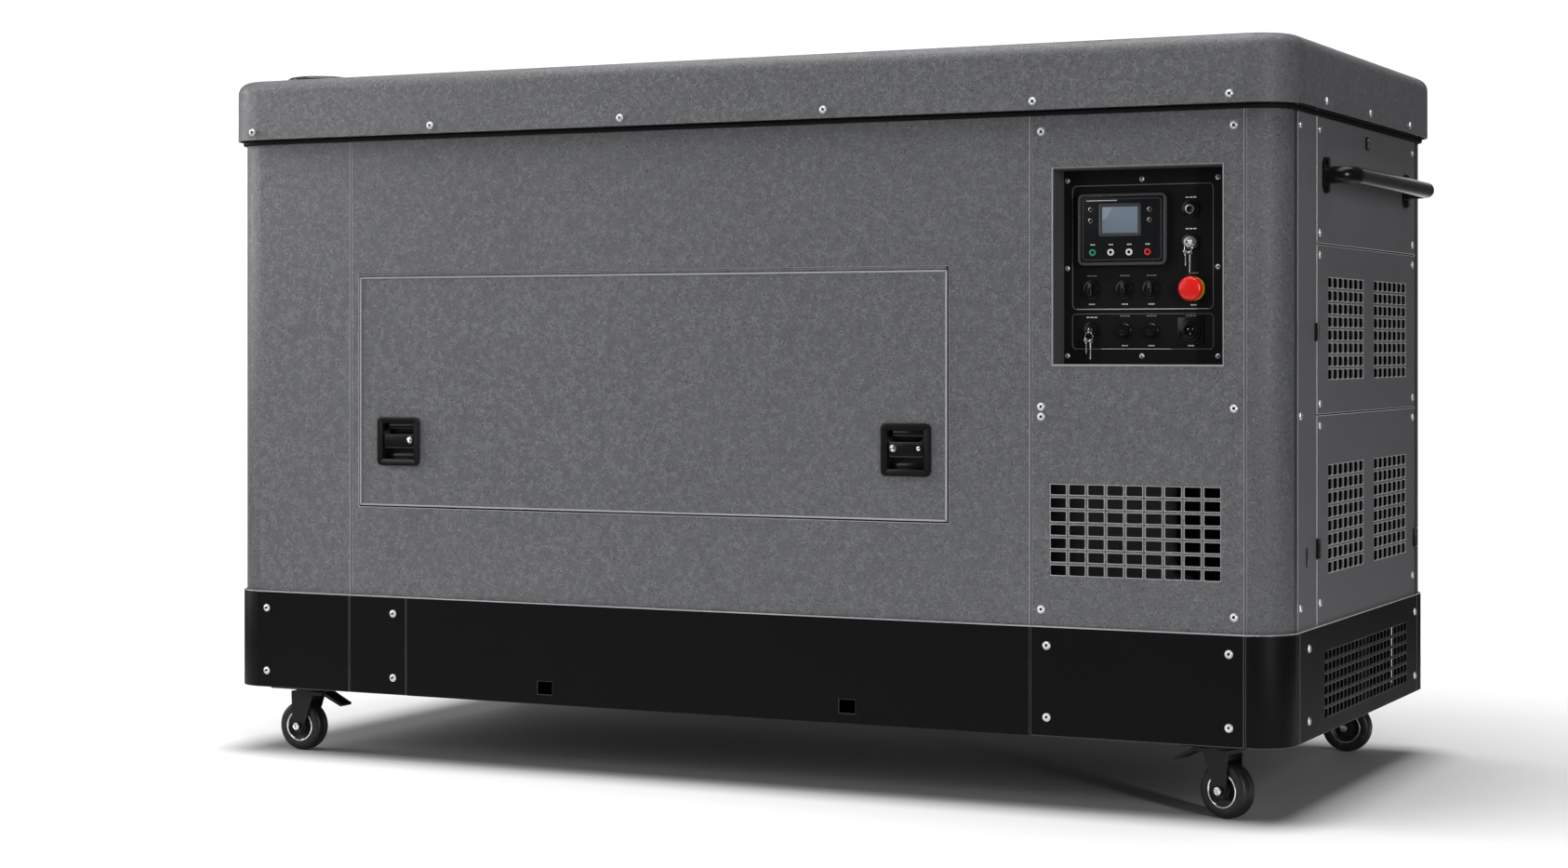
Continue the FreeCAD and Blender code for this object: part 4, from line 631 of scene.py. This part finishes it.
def make_latches():
    """The two dishes in the door, and each paddle with its lip, pin and lock."""
    cups = []
    for low, high in loose_solids("latch_cups"):
        cups += latch_cup(low, high)
    make("latch_dishes", cups, "door", "latch_black", ["latch_cups"])
    for side, lock_side in (("left", 1), ("right", -1)):
        node = f"latch_paddle_{side}"
        low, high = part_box(node)
        middle = (low + high) / 2
        face_y = low.y + 2 * MM
        body = f"paddle_{side}"
        left, right = middle.x - PADDLE_HALF, middle.x + PADDLE_HALF
        grip = block((left, face_y, low.z), (right, high.y, high.z), 2.2 * MM, 3 * MM, 1, 4)
        lip = block((left + 1 * MM, face_y - 1 * MM, high.z - 3.6 * MM),
                    (right - 1 * MM, face_y + 2 * MM, high.z - 0.2 * MM), 1.2 * MM, steps=3)
        pin = lathe(in_mm((0, -35), (1.6, -35), (1.6, 35), (0, 35)),
                    (middle.x, face_y + 3.5 * MM, low.z + 3.5 * MM), X, 16)
        make(f"latch_grip_{side}", [grip, lip, pin], body, "latch_black", [node])
        lock = Vector((middle.x + lock_side * 23.4 * MM, face_y, middle.z + 2.3 * MM))
        bezel = ring(6 * MM, 2.6 * MM, -1 * MM, 2 * MM, lock, -Y, 1 * MM)
        core = lathe(in_mm((2.6, 0), (2.6, 1), (1.9, 1.3), (0, 1.3)), lock, -Y, 24)
        slot = block(lock + Vector((-0.35, -1.9, -1.5)) * MM, lock + Vector((0.35, -1, 1.5)) * MM, 0)
        shapes = [bezel, core]
        if side == "right":
            spot = Vector((middle.x + 22 * MM, face_y, middle.z + 2 * MM))
            shapes.append(hex_head(spot, -Y, 3.4 * MM, 1.6 * MM))
        make(f"latch_lock_{side}", shapes, body, "lock_chrome")
        make(f"latch_keyway_{side}", [slot], body, "latch_black")


# ---- controls

PLACES = ("left", "middle", "right")


def bar_knob(name, body):
    """A black knob with a raised finger bar and a grey pointer line."""
    low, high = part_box(name)
    base, radius, _ = disc_seat(low, high)
    drum = 5.5 * MM
    outline = [(0, 0), (radius, 0), (radius, 1.4 * MM), (radius * 0.93, 2 * MM),
               (radius * 0.9, drum - 1 * MM), (radius * 0.82, drum), (0, drum)]
    skirt = lathe(outline, base, -Y, 48)
    bar = block((base.x - 3.4 * MM, low.y, base.z - radius * 0.88),
                (base.x + 3.4 * MM, high.y - drum * 0.8, base.z + radius * 0.88),
                1.1 * MM, 2.2 * MM, 1, 3)
    make(f"{name}_grip", [skirt, bar], body, "knob_black", [name])
    line = block((base.x - 0.5 * MM, low.y - 0.02 * MM, base.z + 2 * MM),
                 (base.x + 0.5 * MM, low.y + 0.6 * MM, base.z + radius * 0.8), 0.1 * MM)
    make(f"{name}_pointer", [line], body, "knob_black", finish=MARK_GREY)


def make_bezels():
    """Rings, fuse caps and the socket that sit on the control plate."""
    shapes, contacts = [], []
    for low, high in loose_solids("switch_bezels"):
        base, radius, proud = disc_seat(low, high)
        if proud < 3.5 * MM:
            shapes.append(ring(radius, radius * 0.66, 0, proud, base, -Y, 0.9 * MM))
            continue
        if proud < 6 * MM:
            shapes.append(ring(radius, radius * 0.78, 0, proud * 0.6, base, -Y, 0.9 * MM))
            shapes.append(ring(radius * 0.8, radius * 0.55, 0, proud, base, -Y, 1 * MM))
            continue
        if radius < 15 * MM:
            cap = [(0, proud - 0.6 * MM), (radius * 0.5, proud - 0.6 * MM), (radius * 0.55, proud),
                   (radius * 0.8, proud), (radius * 0.86, proud - 1 * MM), (radius * 0.9, 4 * MM),
                   (radius, 3 * MM), (radius, 0)]
            shapes.append(lathe(cap, base, -Y, 40))
            shapes.append(block(base + Vector((-radius * 0.45, -proud - 0.01 * MM, -0.8 * MM)),
                                base + Vector((radius * 0.45, -proud + 1.2 * MM, 0.8 * MM)), 0.3 * MM))
            continue
        shapes.append(ring(radius, radius * 0.72, 0, proud * 0.6, base, -Y, 1.2 * MM))
        shapes.append(ring(radius * 0.74, 9 * MM, 0, proud, base, -Y, 1.2 * MM))
        shapes.append(lathe(in_mm((0, 1), (9.4, 1), (9.4, 0)), base, -Y, 32))
        square = radius + 4.5 * MM
        shapes.append(block(base + Vector((-square, -1.8 * MM, -square)),
                            base + Vector((square, 0.0, square)), 0.5 * MM, 3 * MM))
        for turn in range(3):
            around = turn * math.tau / 3 + 0.5
            spot = base + Vector((math.cos(around), 0, math.sin(around))) * 5.2 * MM
            tip = [(r, h + 4 * MM) for r, h in dome(1.2 * MM, 1 * MM, 3)]
            contacts.append(lathe([(1.2 * MM, 0)] + tip, spot, -Y, 12))
    make("switch_rings", shapes, "casing", "knob_black", ["switch_bezels"])
    make("switch_bright_rings", contacts, "casing", "lock_chrome")


def key_blade(top, length, lean):
    """A small hanging key: a round bow with a hole and a notched blade."""
    bow = ring(3.5 * MM, 1.5 * MM, -0.55 * MM, 0.55 * MM, (0, 0, 0), -Y, 0.2 * MM, 24)
    outline = [(1.2, 0), (1.2, -length + 3), (0, -length), (-1.2, -length + 2)]
    for notch in range(4):
        start = -length + 5 + notch * 3.2
        outline += [(-1.2, start), (-0.6, start + 0.8), (-0.6, start + 1.6), (-1.2, start + 2.4)]
    outline += [(-1.2, 0)]
    blade = plate(in_mm(*((x, z - 2.8) for x, z in outline)), -0.5 * MM, 0.5 * MM, 0.12 * MM)
    place = Matrix.Translation(top) @ Matrix.Rotation(math.radians(lean), 4, "Y")
    for shape in (bow, blade):
        bmesh.ops.transform(shape, matrix=place, verts=shape.verts)
    return [bow, blade]


LOCK_RADIUS = 10.8 * MM
LOCK_RING_HIGH = 3.3 * MM


def key_switch(name, body, chrome_face):
    """A lock barrel with its key in, a ring and two keys hanging from it."""
    low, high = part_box(name)
    radius = LOCK_RADIUS
    ring_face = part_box("control_plate")[0].y - LOCK_RING_HIGH
    centre = Vector(((low.x + high.x) / 2, ring_face, high.z - radius))
    shell = lathe([(radius, 0), (radius, 3 * MM), (radius * 0.9, 4.2 * MM), (radius * 0.62, 4.5 * MM),
                   (radius * 0.58, 3.6 * MM), (0, 3.6 * MM)], centre, -Y, 40)
    slot = "lock_chrome" if chrome_face else "knob_black"
    make(f"{name}_barrel", [shell], body, slot, [name])
    bow = lathe(in_mm((0, -1.1), (4.6, -1.1), (5.4, -0.5), (5.4, 0.5), (4.6, 1.1), (0, 1.1)),
                centre + Vector((0, -9.6, 0)) * MM, X, 28)
    stem = block(centre + Vector((-1, -6, -2)) * MM, centre + Vector((1, 2, 2)) * MM, 0.3 * MM)
    hole = centre + Vector((0, -11.6, -3.4)) * MM
    loop_radius = 7.4 * MM
    hang = hole + Vector((0, 0, -loop_radius + 1.2 * MM))
    turns = [math.tau * step / 12 for step in range(12)]
    round_hole = [Vector((math.sin(turn) * 0.96, math.sin(turn) * -0.16, math.cos(turn))) for turn in turns]
    loop = pipe([hang + way * loop_radius for way in round_hole], 0.55 * MM, closed=True)
    foot = hang.z - loop_radius
    reach = (foot - low.z) / MM - 3.6 - 1.0
    keys = key_blade(Vector((hang.x + 3.0 * MM, hang.y + 1.2 * MM, foot)), reach, 1.0)
    keys += key_blade(Vector((hang.x - 4.6 * MM, hang.y, foot + 1.6 * MM)), reach * 0.7, -2)
    make(f"{name}_keys", [bow, stem, loop] + keys, body, "lock_chrome")


def make_push_button():
    """A dished black cap inside a bright ring."""
    base, radius, proud = disc_seat(*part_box("push_button"))
    crown = [(radius, 0), (radius, proud * 0.7), (radius * 0.9, proud * 0.95), (radius * 0.5, proud * 0.8),
             (0, proud * 0.72)]
    make("push_button_cap", [lathe(crown, base, -Y, 36)], "push_button", "knob_black", ["push_button"])
    bright = ring(radius * 0.94, radius * 0.62, proud * 0.6, proud, base, -Y, 0.4 * MM)
    make("push_button_trim", [bright], "push_button", "lock_chrome")


STOP_HEAD_HIGH = 16
STOP_STEM_RADIUS = 4.4
STOP_STEM_LONG = 9.3


def make_stop_button():
    """A mushroom stop button on its yellow collar."""
    low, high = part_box("estop_button")
    base, radius, _ = disc_seat(low, high)
    base.y = low.y + STOP_HEAD_HIGH * MM
    head = [(0, STOP_HEAD_HIGH), (0.5, 15.7), (0.78, 14.6), (0.93, 12.4), (1.0, 9.2), (0.985, 4.6),
            (0.9, 1.2), (0.8, 0)]
    outline = [(radius * share, reach * MM) for share, reach in head]
    outline += in_mm((STOP_STEM_RADIUS, 0), (STOP_STEM_RADIUS, -STOP_STEM_LONG), (0, -STOP_STEM_LONG))
    shape = lathe(outline, base, -Y, 56)
    arrows = []
    for start in (0, math.tau / 3, math.tau * 2 / 3):
        turns = [start + step * 0.28 for step in range(5)]
        points = [Vector((math.cos(turn) * 10.5, -15.25, math.sin(turn) * 10.5)) * MM for turn in turns]
        arrows.append(pipe([base + point for point in points], 0.45 * MM))
    make("stop_mushroom", [shape] + arrows, "estop", "stop_red", ["estop_button"])
    seat, radius, proud = disc_seat(*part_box("estop_collar"))
    collar = [(6 * MM, 0), (6 * MM, proud), (radius * 0.8, proud), (radius * 0.96, proud * 0.8),
              (radius, proud * 0.4), (radius, 0), (6 * MM, 0)]
    make("stop_collar_ring", [lathe(collar, seat, -Y, 56)], "casing", "stop_yellow", ["estop_collar"])
    # A black disc over the collar's inner face, for the dark band under the mushroom head: partly the black
    # stem, partly painted shade.
    inner = ring(radius * 0.83, 6.5 * MM, proud * 0.5, proud + 0.25 * MM, seat, -Y, 0.4 * MM, 48)
    make("stop_collar_disc", [inner], "casing", "knob_black")


def make_controller():
    """The controller: raised rim, display window, soft keys and marks."""
    low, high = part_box("controller_case")
    back = block((low.x, low.y + 1.6 * MM, low.z), (high.x, high.y, high.z), 1.2 * MM, 9 * MM, 1, 3)
    s_low, s_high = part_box("controller_screen")
    frames = []
    for inner_low, inner_high, margin, seat, *line in (
            (low, high, 1, 2.6, 4.2, 2.6, 9), (low, high, 9, 1.9, 1.2, 0.7, 5),
            (s_low, s_high, -5, 1.8, 5.2, 1.5, 4)):
        inset = margin * MM
        frames.append(framed((inner_low.x + inset, inner_low.z + inset),
                             (inner_high.x - inset, inner_high.z - inset),
                             low.y + seat * MM, *(size * MM for size in line)))
    make("controller_housing", [back], "casing", "controller_black", ["controller_case"])
    # The rim and window frames take the lighter grey: a painted highlight on the housing's plastic.
    make("controller_rim", frames, "casing", "controller_black", finish=RIM_HIGHLIGHT)
    glass = block((s_low.x, low.y + 1.0 * MM, s_low.z), (s_high.x, low.y + 2.4 * MM, s_high.z),
                  0.3 * MM, 1 * MM)
    make("controller_display", [glass], "casing", "screen_grey", ["controller_screen"])
    rings, dots = [], []
    middle = (low + high) / 2
    for x, z in ((-53, 17.36), (-53, -0.62), (47, 16.12), (47, -0.62)):
        spot = Vector((middle.x + x * MM, low.y + 1.6 * MM, (s_low.z + s_high.z) / 2 + z * MM))
        rings.append(ring(3.8 * MM, 2.5 * MM, 0, 1.0 * MM, spot, -Y, 0.3 * MM, 24))
        dots.append(lathe(dome(2.2 * MM, 0.9 * MM, 4), spot, -Y, 20))
    make("controller_soft_key_rings", rings, "casing", "lock_chrome")
    make("controller_soft_keys", dots, "casing", "knob_black")
    print_back, print_face = low.y + 1.8 * MM, low.y + 1.45 * MM

    def stroke(left, right, z, half):
        return block((left, print_face, z - half), (right, print_back, z + half), 0)

    marks = [stroke(low.x + 15 * MM, low.x + 67 * MM, s_high.z + 10 * MM, 0.7 * MM)]
    for name in ("start", "automatic", "manual", "stop"):
        key_low, key_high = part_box(f"controller_key_{name}")
        x, z = (key_low.x + key_high.x) / 2, key_high.z + 7 * MM
        for dash in (-1, 1):
            at = x + dash * 2.1 * MM
            marks.append(stroke(at - 1.6 * MM, at + 1.6 * MM, z, 0.9 * MM))
    make("controller_marks", marks, "casing", "controller_black", finish=MARK_WHITE)


KEY_SLOTS = {"start": "key_green", "automatic": "key_white", "manual": "key_white", "stop": "key_red"}


def make_control_keys():
    """Ring-topped membrane keys: a coloured ring round a dark middle."""
    for name, slot in KEY_SLOTS.items():
        node = f"controller_key_{name}"
        base, radius, proud = disc_seat(*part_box(node))
        crown = ring(radius, radius * 0.5, 0, proud, base, -Y, 0.8 * MM, 32)
        make(f"control_key_{name}", [crown], f"key_{name}", slot, [node])
        dot = lathe([(radius * 0.52, 0), (radius * 0.52, proud * 0.5), (radius * 0.4, proud * 0.75),
                     (0, proud * 0.8)], base, -Y, 24)
        make(f"control_key_{name}_middle", [dot], f"key_{name}", "knob_black")


def dashes(x, z, wide, face):
    """Three short strokes that stand for a printed label."""
    strokes = []
    for step in range(3):
        left = x + (step * 0.72 - 1) * wide
        strokes.append(block((left, face - 0.25 * MM, z - 0.9 * MM),
                             (left + wide * 0.56, face, z + 0.9 * MM), 0))
    return strokes


def make_plate_lines():
    """Pressed lines on the control plate, lighter than the plate as a painted highlight, light strips along
    their feet as painted highlights, and the plain marks by each control.
    """
    low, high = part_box("control_plate")
    face = low.y
    upper = framed((low.x + 16 * MM, low.z + 90 * MM), (high.x - 31 * MM, high.z - 26 * MM),
                   face, 1.8 * MM, 0.7 * MM, 9 * MM)
    lower = framed((low.x + 16 * MM, low.z + 26 * MM), (high.x - 31 * MM, low.z + 84 * MM),
                   face, 1.3 * MM, 0.5 * MM, 7 * MM)
    make("control_plate_lines", [upper, lower], "casing", "panel_black", finish=LINE_HIGHLIGHT_GREY)
    # Light strips along the foot of each pressed frame: painted highlights.
    bright = [block((low.x + 24 * MM, face - 1.0 * MM, low.z + 90.2 * MM),
                    (high.x - 40 * MM, face - 0.55 * MM, low.z + 91.8 * MM), 0.15 * MM),
              block((low.x + 66 * MM, face - 0.8 * MM, low.z + 26.1 * MM),
                    (low.x + 184 * MM, face - 0.4 * MM, low.z + 27.4 * MM), 0.15 * MM)]
    make("control_plate_highlight_strips", bright, "casing", "panel_black", finish=PAINTED_EDGE_HIGHLIGHT)
    bold, faint = [], []
    # Corners of each control, then how far its marks stand above and below.
    marked = [(*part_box(f"selector_knob_{place}"), 22, 24) for place in PLACES]
    marked.append((*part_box("estop_button"), 25, 26))
    marked += [(*solid, 24, 24) for solid in loose_solids("switch_bezels")
               if solid[1].y - solid[0].y >= 6 * MM]
    for part_low, part_high, rise, drop in marked:
        x, z = (part_low.x + part_high.x) / 2, (part_low.z + part_high.z) / 2
        bold += dashes(x, z - drop * MM, 5 * MM, face)
        faint += dashes(x, z + rise * MM, 8 * MM, face)
    for node in ("key_switch_upper", "key_switch_lower", "push_button"):
        part_low, part_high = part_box(node)
        bold += dashes((part_low.x + part_high.x) / 2, part_high.z + 11 * MM, 9 * MM, face)
    make("control_marks", bold, "casing", "panel_black", finish=MARK_WHITE)
    make("control_faint_marks", faint, "casing", "panel_black", finish=MARK_GREY)


def make_edge_lines():
    """Turned-up lips round the door and the recess, coloured light as a painted highlight."""
    low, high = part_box("service_door")
    lip = framed((low.x, low.z), (high.x, high.z), low.y + 0.2 * MM, 3.0 * MM, 1.1 * MM, 1.5 * MM)
    make("door_lip", [lip], "door", "casing_grey", finish=PAINTED_EDGE_HIGHLIGHT)
    low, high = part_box("control_box")
    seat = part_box("front_right_panel")[0].y
    inset = 0.2 * MM
    spans = [(low.x - inset, low.z - inset, low.x + 1.5 * MM, high.z),
             (low.x, low.z - inset, high.x, low.z + 2.0 * MM),
             (high.x - 1.0 * MM, low.z, high.x + inset, high.z)]
    rails = [block((left, seat - 0.8 * MM, foot), (right, seat + 2 * MM, head), 0.3 * MM)
             for left, foot, right, head in spans]
    make("recess_lip", rails, "casing", "casing_grey", finish=PAINTED_EDGE_HIGHLIGHT)


# ---- casters

CORNERS = ("front_left", "front_right", "rear_left", "rear_right")
FRONT_RIGHT_YAW = math.radians(160)
TYRE_HALF_WIDTH = 16 * MM
# The tyre's outline from hub to tread, as shares of its radius and half width.
TREAD = [(0.5, 0.86), (0.6, 0.92), (0.7, 0.99), (0.8, 1.0), (0.9, 0.96), (0.965, 0.82),
         (0.99, 0.62), (1.0, 0.42), (1.0, 0.16), (0.985, 0.12), (0.985, 0.04)]
HUB_DISH = [(0.56, 0.94), (0.5, 0.84), (0.42, 0.7), (0.34, 0.72), (0.33, 1.06), (0.3, 1.09)]


def make_wheel(corner):
    """A caster wheel: grooved tread, spoked dish, bright ring and axle bolts."""
    node = f"caster_wheel_{corner}"
    low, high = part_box(node)
    centre = (low + high) / 2
    radius = (high.z - low.z) / 2
    yaw = FRONT_RIGHT_YAW if corner == "front_right" else 0.0
    axis = Matrix.Rotation(yaw, 3, "Z") @ Y
    half = TYRE_HALF_WIDTH
    outline = [(radius * reach, half * wide) for reach, wide in TREAD]
    outline += [(radius * reach, -half * wide) for reach, wide in reversed(TREAD)]
    tyre = lathe(outline + [outline[0]], centre, axis, 72)
    make(f"tyre_{corner}", [tyre], f"wheel_{corner}", "tyre_black", [node])
    hubs = []
    rings = []
    dish = [(radius * reach, half * wide) for reach, wide in HUB_DISH]
    dish = [(dish[0][0], 6 * MM)] + dish + [(4.3 * MM, dish[-1][1]), (4.3 * MM, 0)]
    for side in (-1, 1):
        face = axis * side
        hubs.append(lathe(dish, centre, face, 60))
        rings.append(ring(radius * 0.63, radius * 0.56, half * 0.7, half * 1.02,
                          centre, face, 0.9 * MM, 72))
        for spoke in range(5):
            turn = Matrix.Rotation(math.tau * spoke / 5, 3, face)
            out = turn @ Z
            start = centre + out * radius * 0.32 + face * half * 0.72
            hubs.append(pipe([start, start + out * radius * 0.22], 1.6 * MM, smooth=False))
    make(f"wheel_hub_{corner}", hubs, f"wheel_{corner}", "caster_steel")
    make(f"wheel_bright_ring_{corner}", rings, f"wheel_{corner}", "lock_chrome")
    bolts = []
    fork_low, fork_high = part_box("caster_fork_front_left")
    boss = (fork_high.y - fork_low.y) / 2
    for side in (-1, 1):
        face = axis * side
        start = centre + face * (boss - 0.2 * MM)
        bolts.append(ring(6.8 * MM, 2.4 * MM, 0, 3.4 * MM, start, face, 1.0 * MM, 36))
        bolts.append(lathe(in_mm((2.4, 1.4), (0, 1.4)), start, face, 6))
    make(f"axle_bolt_{corner}", bolts, f"fork_{corner}", "lock_chrome")


# ---- roof cap

def make_roof_cap():
    """A low round filler cap with finger scallops and a raised grip."""
    low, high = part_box("roof_filler_cap")
    centre = (low + high) / 2
    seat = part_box("roof_lid")[1].z + 0.3 * MM
    radius = (high.x - low.x) / 2
    proud = high.z - seat
    crown = [(0, 0.55), (0.55, 0.55), (0.62, 0.7), (0.8, 0.75), (0.93, 0.6), (1.0, 0.3), (1.0, 0), (0.3, 0)]
    outline = [(radius * share, proud * rise) for share, rise in crown]
    outline += [(radius * 0.3, low.z - seat), (0, low.z - seat)]
    top = lathe(outline, (centre.x, centre.y, seat), Z, 96)
    for vert in top.verts:
        flat = Vector((vert.co.x - centre.x, vert.co.y - centre.y))
        if flat.length > radius * 0.9:
            wave = math.cos(math.atan2(flat.y, flat.x) * 16)
            pull = 1 - 0.02 * (1 + wave)
            vert.co.x = centre.x + flat.x * pull
            vert.co.y = centre.y + flat.y * pull
    grip = block((centre.x - radius * 0.5, centre.y - 8 * MM, seat + proud * 0.45),
                 (centre.x + radius * 0.5, centre.y + 8 * MM, high.z), 2.5 * MM, 6 * MM, 2, 4)
    make("roof_cap_shell", [top, grip], "roof_cap", "cap_black", ["roof_filler_cap"])


# ---- side details

# Middle (y, z), width and height of each block on the right end, in millimetres.
SIDE_HINGES = ((-287, 772, 9, 30), (-276, 422, 13, 34), (384, 401, 16, 34), (40, 1096, 14, 22))


def make_side_hardware():
    """Small hinges, a hasp and a plugged slot on the right end."""
    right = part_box("side_middle_panel")[1].x
    black = []
    for y, z, wide, high in SIDE_HINGES:
        low = Vector((right, (y - wide / 2) * MM, (z - high / 2) * MM))
        top = Vector((right + 5 * MM, (y + wide / 2) * MM, (z + high / 2) * MM))
        black.append(block(low, top, 1.2 * MM, 3 * MM, 0, 3))
        barrel = (right + 5 * MM, y * MM - wide * 0.3 * MM, (z - high * 0.42) * MM)
        black.append(lathe([(0, 0), (2.6 * MM, 0), (2.6 * MM, high * 0.84 * MM), (0, high * 0.84 * MM)],
                           barrel, Z, 20))
    make("side_hinge_blocks", black, "casing", "latch_black")
    slot = block((right - 0.2 * MM, -341 * MM, 395 * MM), (right + 1 * MM, -333 * MM, 427 * MM),
                 0.4 * MM, 3 * MM, 0)
    make("side_slot_plug", [slot], "casing", "latch_black")


def make_corner_channels():
    """Thin dark strips for the folded channel between each rounded corner and the end panel: a painted
    shadow.
    """
    shapes = []
    low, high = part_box("corner_posts")
    strip_low, strip_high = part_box("side_strip")
    wide = 18 * MM
    edge = strip_low.y - 2 * MM
    for x, out in ((high.x, 1), (low.x, -1)):
        for y in (edge - wide, -edge):
            near, far = sorted((x - out * 0.5 * MM, x + out * 0.35 * MM))
            shapes.append(block((near, y, strip_low.z + 1 * MM),
                                (far, y + wide, strip_high.z - 22 * MM), 0.2 * MM))
    make("corner_channel_strips", shapes, "casing", "side_grey", finish=CHANNEL_SHADE)


def band_round(node, reach, wide, high, top, corner):
    """A flat band that runs level round a frame node, with rounded corners."""
    low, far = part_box(node)
    shape = framed((low.x - reach, low.y - reach), (far.x + reach, far.y + reach), 0, wide, high, corner)
    level = Matrix.Translation((0, 0, top)) @ Matrix.Rotation(math.pi / 2, 4, "X")
    bmesh.ops.transform(shape, matrix=level, verts=shape.verts)
    return shape


def make_bands():
    """A dark band under the lid's rim as a painted shadow, and the skirt's folded lip coloured light as a
    painted highlight.
    """
    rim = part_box("roof_lid")[0].z
    shadow_band = band_round("corner_posts", 7 * MM, 12 * MM, 8 * MM, rim - 0.5 * MM, 64 * MM)
    make("lid_shadow_band", [shadow_band], "casing", "frame_black", finish=LID_SHADOW)
    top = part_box("sill_covers")[1].z
    lip = band_round("sill_covers", 0.5 * MM, 2.2 * MM, 2.2 * MM, top + 0.6 * MM, 61 * MM)
    make("skirt_lip", [lip], "casing", "base_black", finish=PAINTED_EDGE_HIGHLIGHT)


def make_liner():
    """Dark wedge foam on the back wall, which keeps daylight out of the vents."""
    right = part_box("side_middle_panel")[1].x
    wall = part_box("rear_panel")[0].y - 8 * MM
    low = Vector((right - 440 * MM, wall - 30 * MM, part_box("side_lower_panel")[0].z + 20 * MM))
    high = Vector((right - 55 * MM, wall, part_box("side_middle_panel")[1].z))
    ribs = [block(low, high, 2 * MM)]
    pitch = 26 * MM
    for step in range(int((high.z - low.z) / pitch)):
        z = low.z + (step + 0.5) * pitch
        ribs.append(block((low.x + 4 * MM, low.y - 14 * MM, z - 8 * MM),
                          (high.x - 4 * MM, low.y + 4 * MM, z + 8 * MM), 5 * MM, 0, 0, 3))
    make("rear_foam_liner", ribs, "casing", "frame_black", finish=DARK_FOAM)


# ---- studio

# How far round the casing the floor's painted shadow reaches, and how soft its edge is.
SHADE_REACH = (0.96, 0.43, 0)
SHADE_EDGE = 0.14
FLOOR_FADE = (1.25, 2.4)
# Name, place, target, width, height and watts of each lamp.
LAMPS = (
    ("top_lamp", (-0.3, -0.4, 4.3), (-0.3, -0.2, 0), 5.0, 5.0, 290),
    ("key_lamp", (-3.6, -4.4, 2.3), (-0.3, 0, 0.6), 4.2, 3.2, 52),
    ("left_lamp", (-3.9, -0.9, 1.7), (-0.9, -0.3, 0.9), 1.2, 2.2, 80),
    ("corner_lamp", (4.3, -3.4, 1.4), (1.0, -0.45, 0.85), 0.3, 2.4, 112),
)
# The sky's brightness away from the backdrop and on it.
SKY_LEVELS = {"From Min": 0.84, "From Max": 0.93, "To Min": 0.08, "To Max": 1.15}


def make_studio():
    """A white floor with a painted shadow under the casing, clear far off, and soft lamps."""
    mesh = bpy.data.meshes.new("studio_floor")
    shape = bmesh.new()
    bmesh.ops.create_grid(shape, x_segments=1, y_segments=1, size=8)
    shape.to_mesh(mesh)
    shape.free()
    floor = put("studio_floor", mesh)
    white = Finish("studio_white", rough=0.9, gloss=0.1)
    tone = white.noise(0.6, 2.0)
    clean = white.blend(tone, (0.93, 0.93, 0.93, 1), (0.95, 0.95, 0.95, 1))
    mirrored = white.vector("ABSOLUTE", white.place)
    past = white.vector("SUBTRACT", mirrored, SHADE_REACH)
    outside = white.vector("MAXIMUM", past, (0, 0, 0))
    # The floor is coloured darker under the casing: a painted shadow.
    shaded = 1.0 - white.above(white.vector("LENGTH", outside, output=1), 0.0, SHADE_EDGE)
    white.set("Base Color", white.blend(shaded, clean, (0.4, 0.4, 0.4, 1)))
    reach = white.vector("LENGTH", white.place, output=1)
    white.set("Alpha", 1.0 - white.above(reach, *FLOOR_FADE))
    mesh.materials.append(white.material)
    make_room()
    for setting in LAMPS:
        lamp(*setting)


def make_room():
    """Light from all round, brightest from the backdrop behind the casing."""
    world = bpy.data.worlds.new("studio_room")
    world.use_nodes = True
    tree = world.node_tree
    sky = tree.nodes["Background"]
    sky.inputs["Color"].default_value = (1, 1, 1, 1)
    towards = tree.nodes.new("ShaderNodeTexCoord")
    facing = tree.nodes.new("ShaderNodeVectorMath")
    facing.operation = "DOT_PRODUCT"
    facing.inputs[1].default_value = (-0.42, 0.9, 0)
    level = tree.nodes.new("ShaderNodeMapRange")
    level.interpolation_type = "SMOOTHSTEP"
    for name, value in SKY_LEVELS.items():
        level.inputs[name].default_value = value
    tree.links.new(towards.outputs["Generated"], facing.inputs[0])
    tree.links.new(facing.outputs["Value"], level.inputs["Value"])
    tree.links.new(level.outputs[0], sky.inputs["Strength"])
    bpy.context.scene.world = world


def lamp(name, place, target, wide, high, power):
    """A soft rectangular lamp facing its target."""
    light = bpy.data.lights.new(name, "AREA")
    light.shape = "RECTANGLE"
    light.size = wide
    light.size_y = high
    light.energy = power
    holder = put(name, light)
    holder.location = place
    aim = Vector(target) - Vector(place)
    holder.rotation_euler = aim.to_track_quat("-Z", "Y").to_euler()


def make_camera():
    """A level view of the front and the right end, from a little under the lid."""
    view = bpy.data.cameras.new("front_right_view")
    view.lens = 65.4
    view.sensor_width = 36
    view.shift_y = -0.0555
    holder = put("front_right_view", view)
    holder.location = (2.233, -4.793, 0.748)
    holder.rotation_euler = Euler((math.pi / 2, 0, math.radians(25.8645)))
    bpy.context.scene.camera = holder
    bpy.context.scene.view_settings.view_transform = "Standard"


# ---- assembly

dress_frame()
for node_name, width in EASED.items():
    ease_edges(node_name, width * MM)
make_screws()
make_latches()
make_controller()
make_control_keys()
make_bezels()
make_plate_lines()
make_edge_lines()
for place in PLACES:
    bar_knob(f"selector_knob_{place}", f"knob_{place}")
key_switch("key_switch_upper", "key_upper", True)
key_switch("key_switch_lower", "key_lower", False)
make_push_button()
make_stop_button()
for corner_name in CORNERS:
    make_wheel(corner_name)
make_roof_cap()
make_side_hardware()
make_corner_channels()
make_bands()
make_liner()
make_studio()
make_camera()
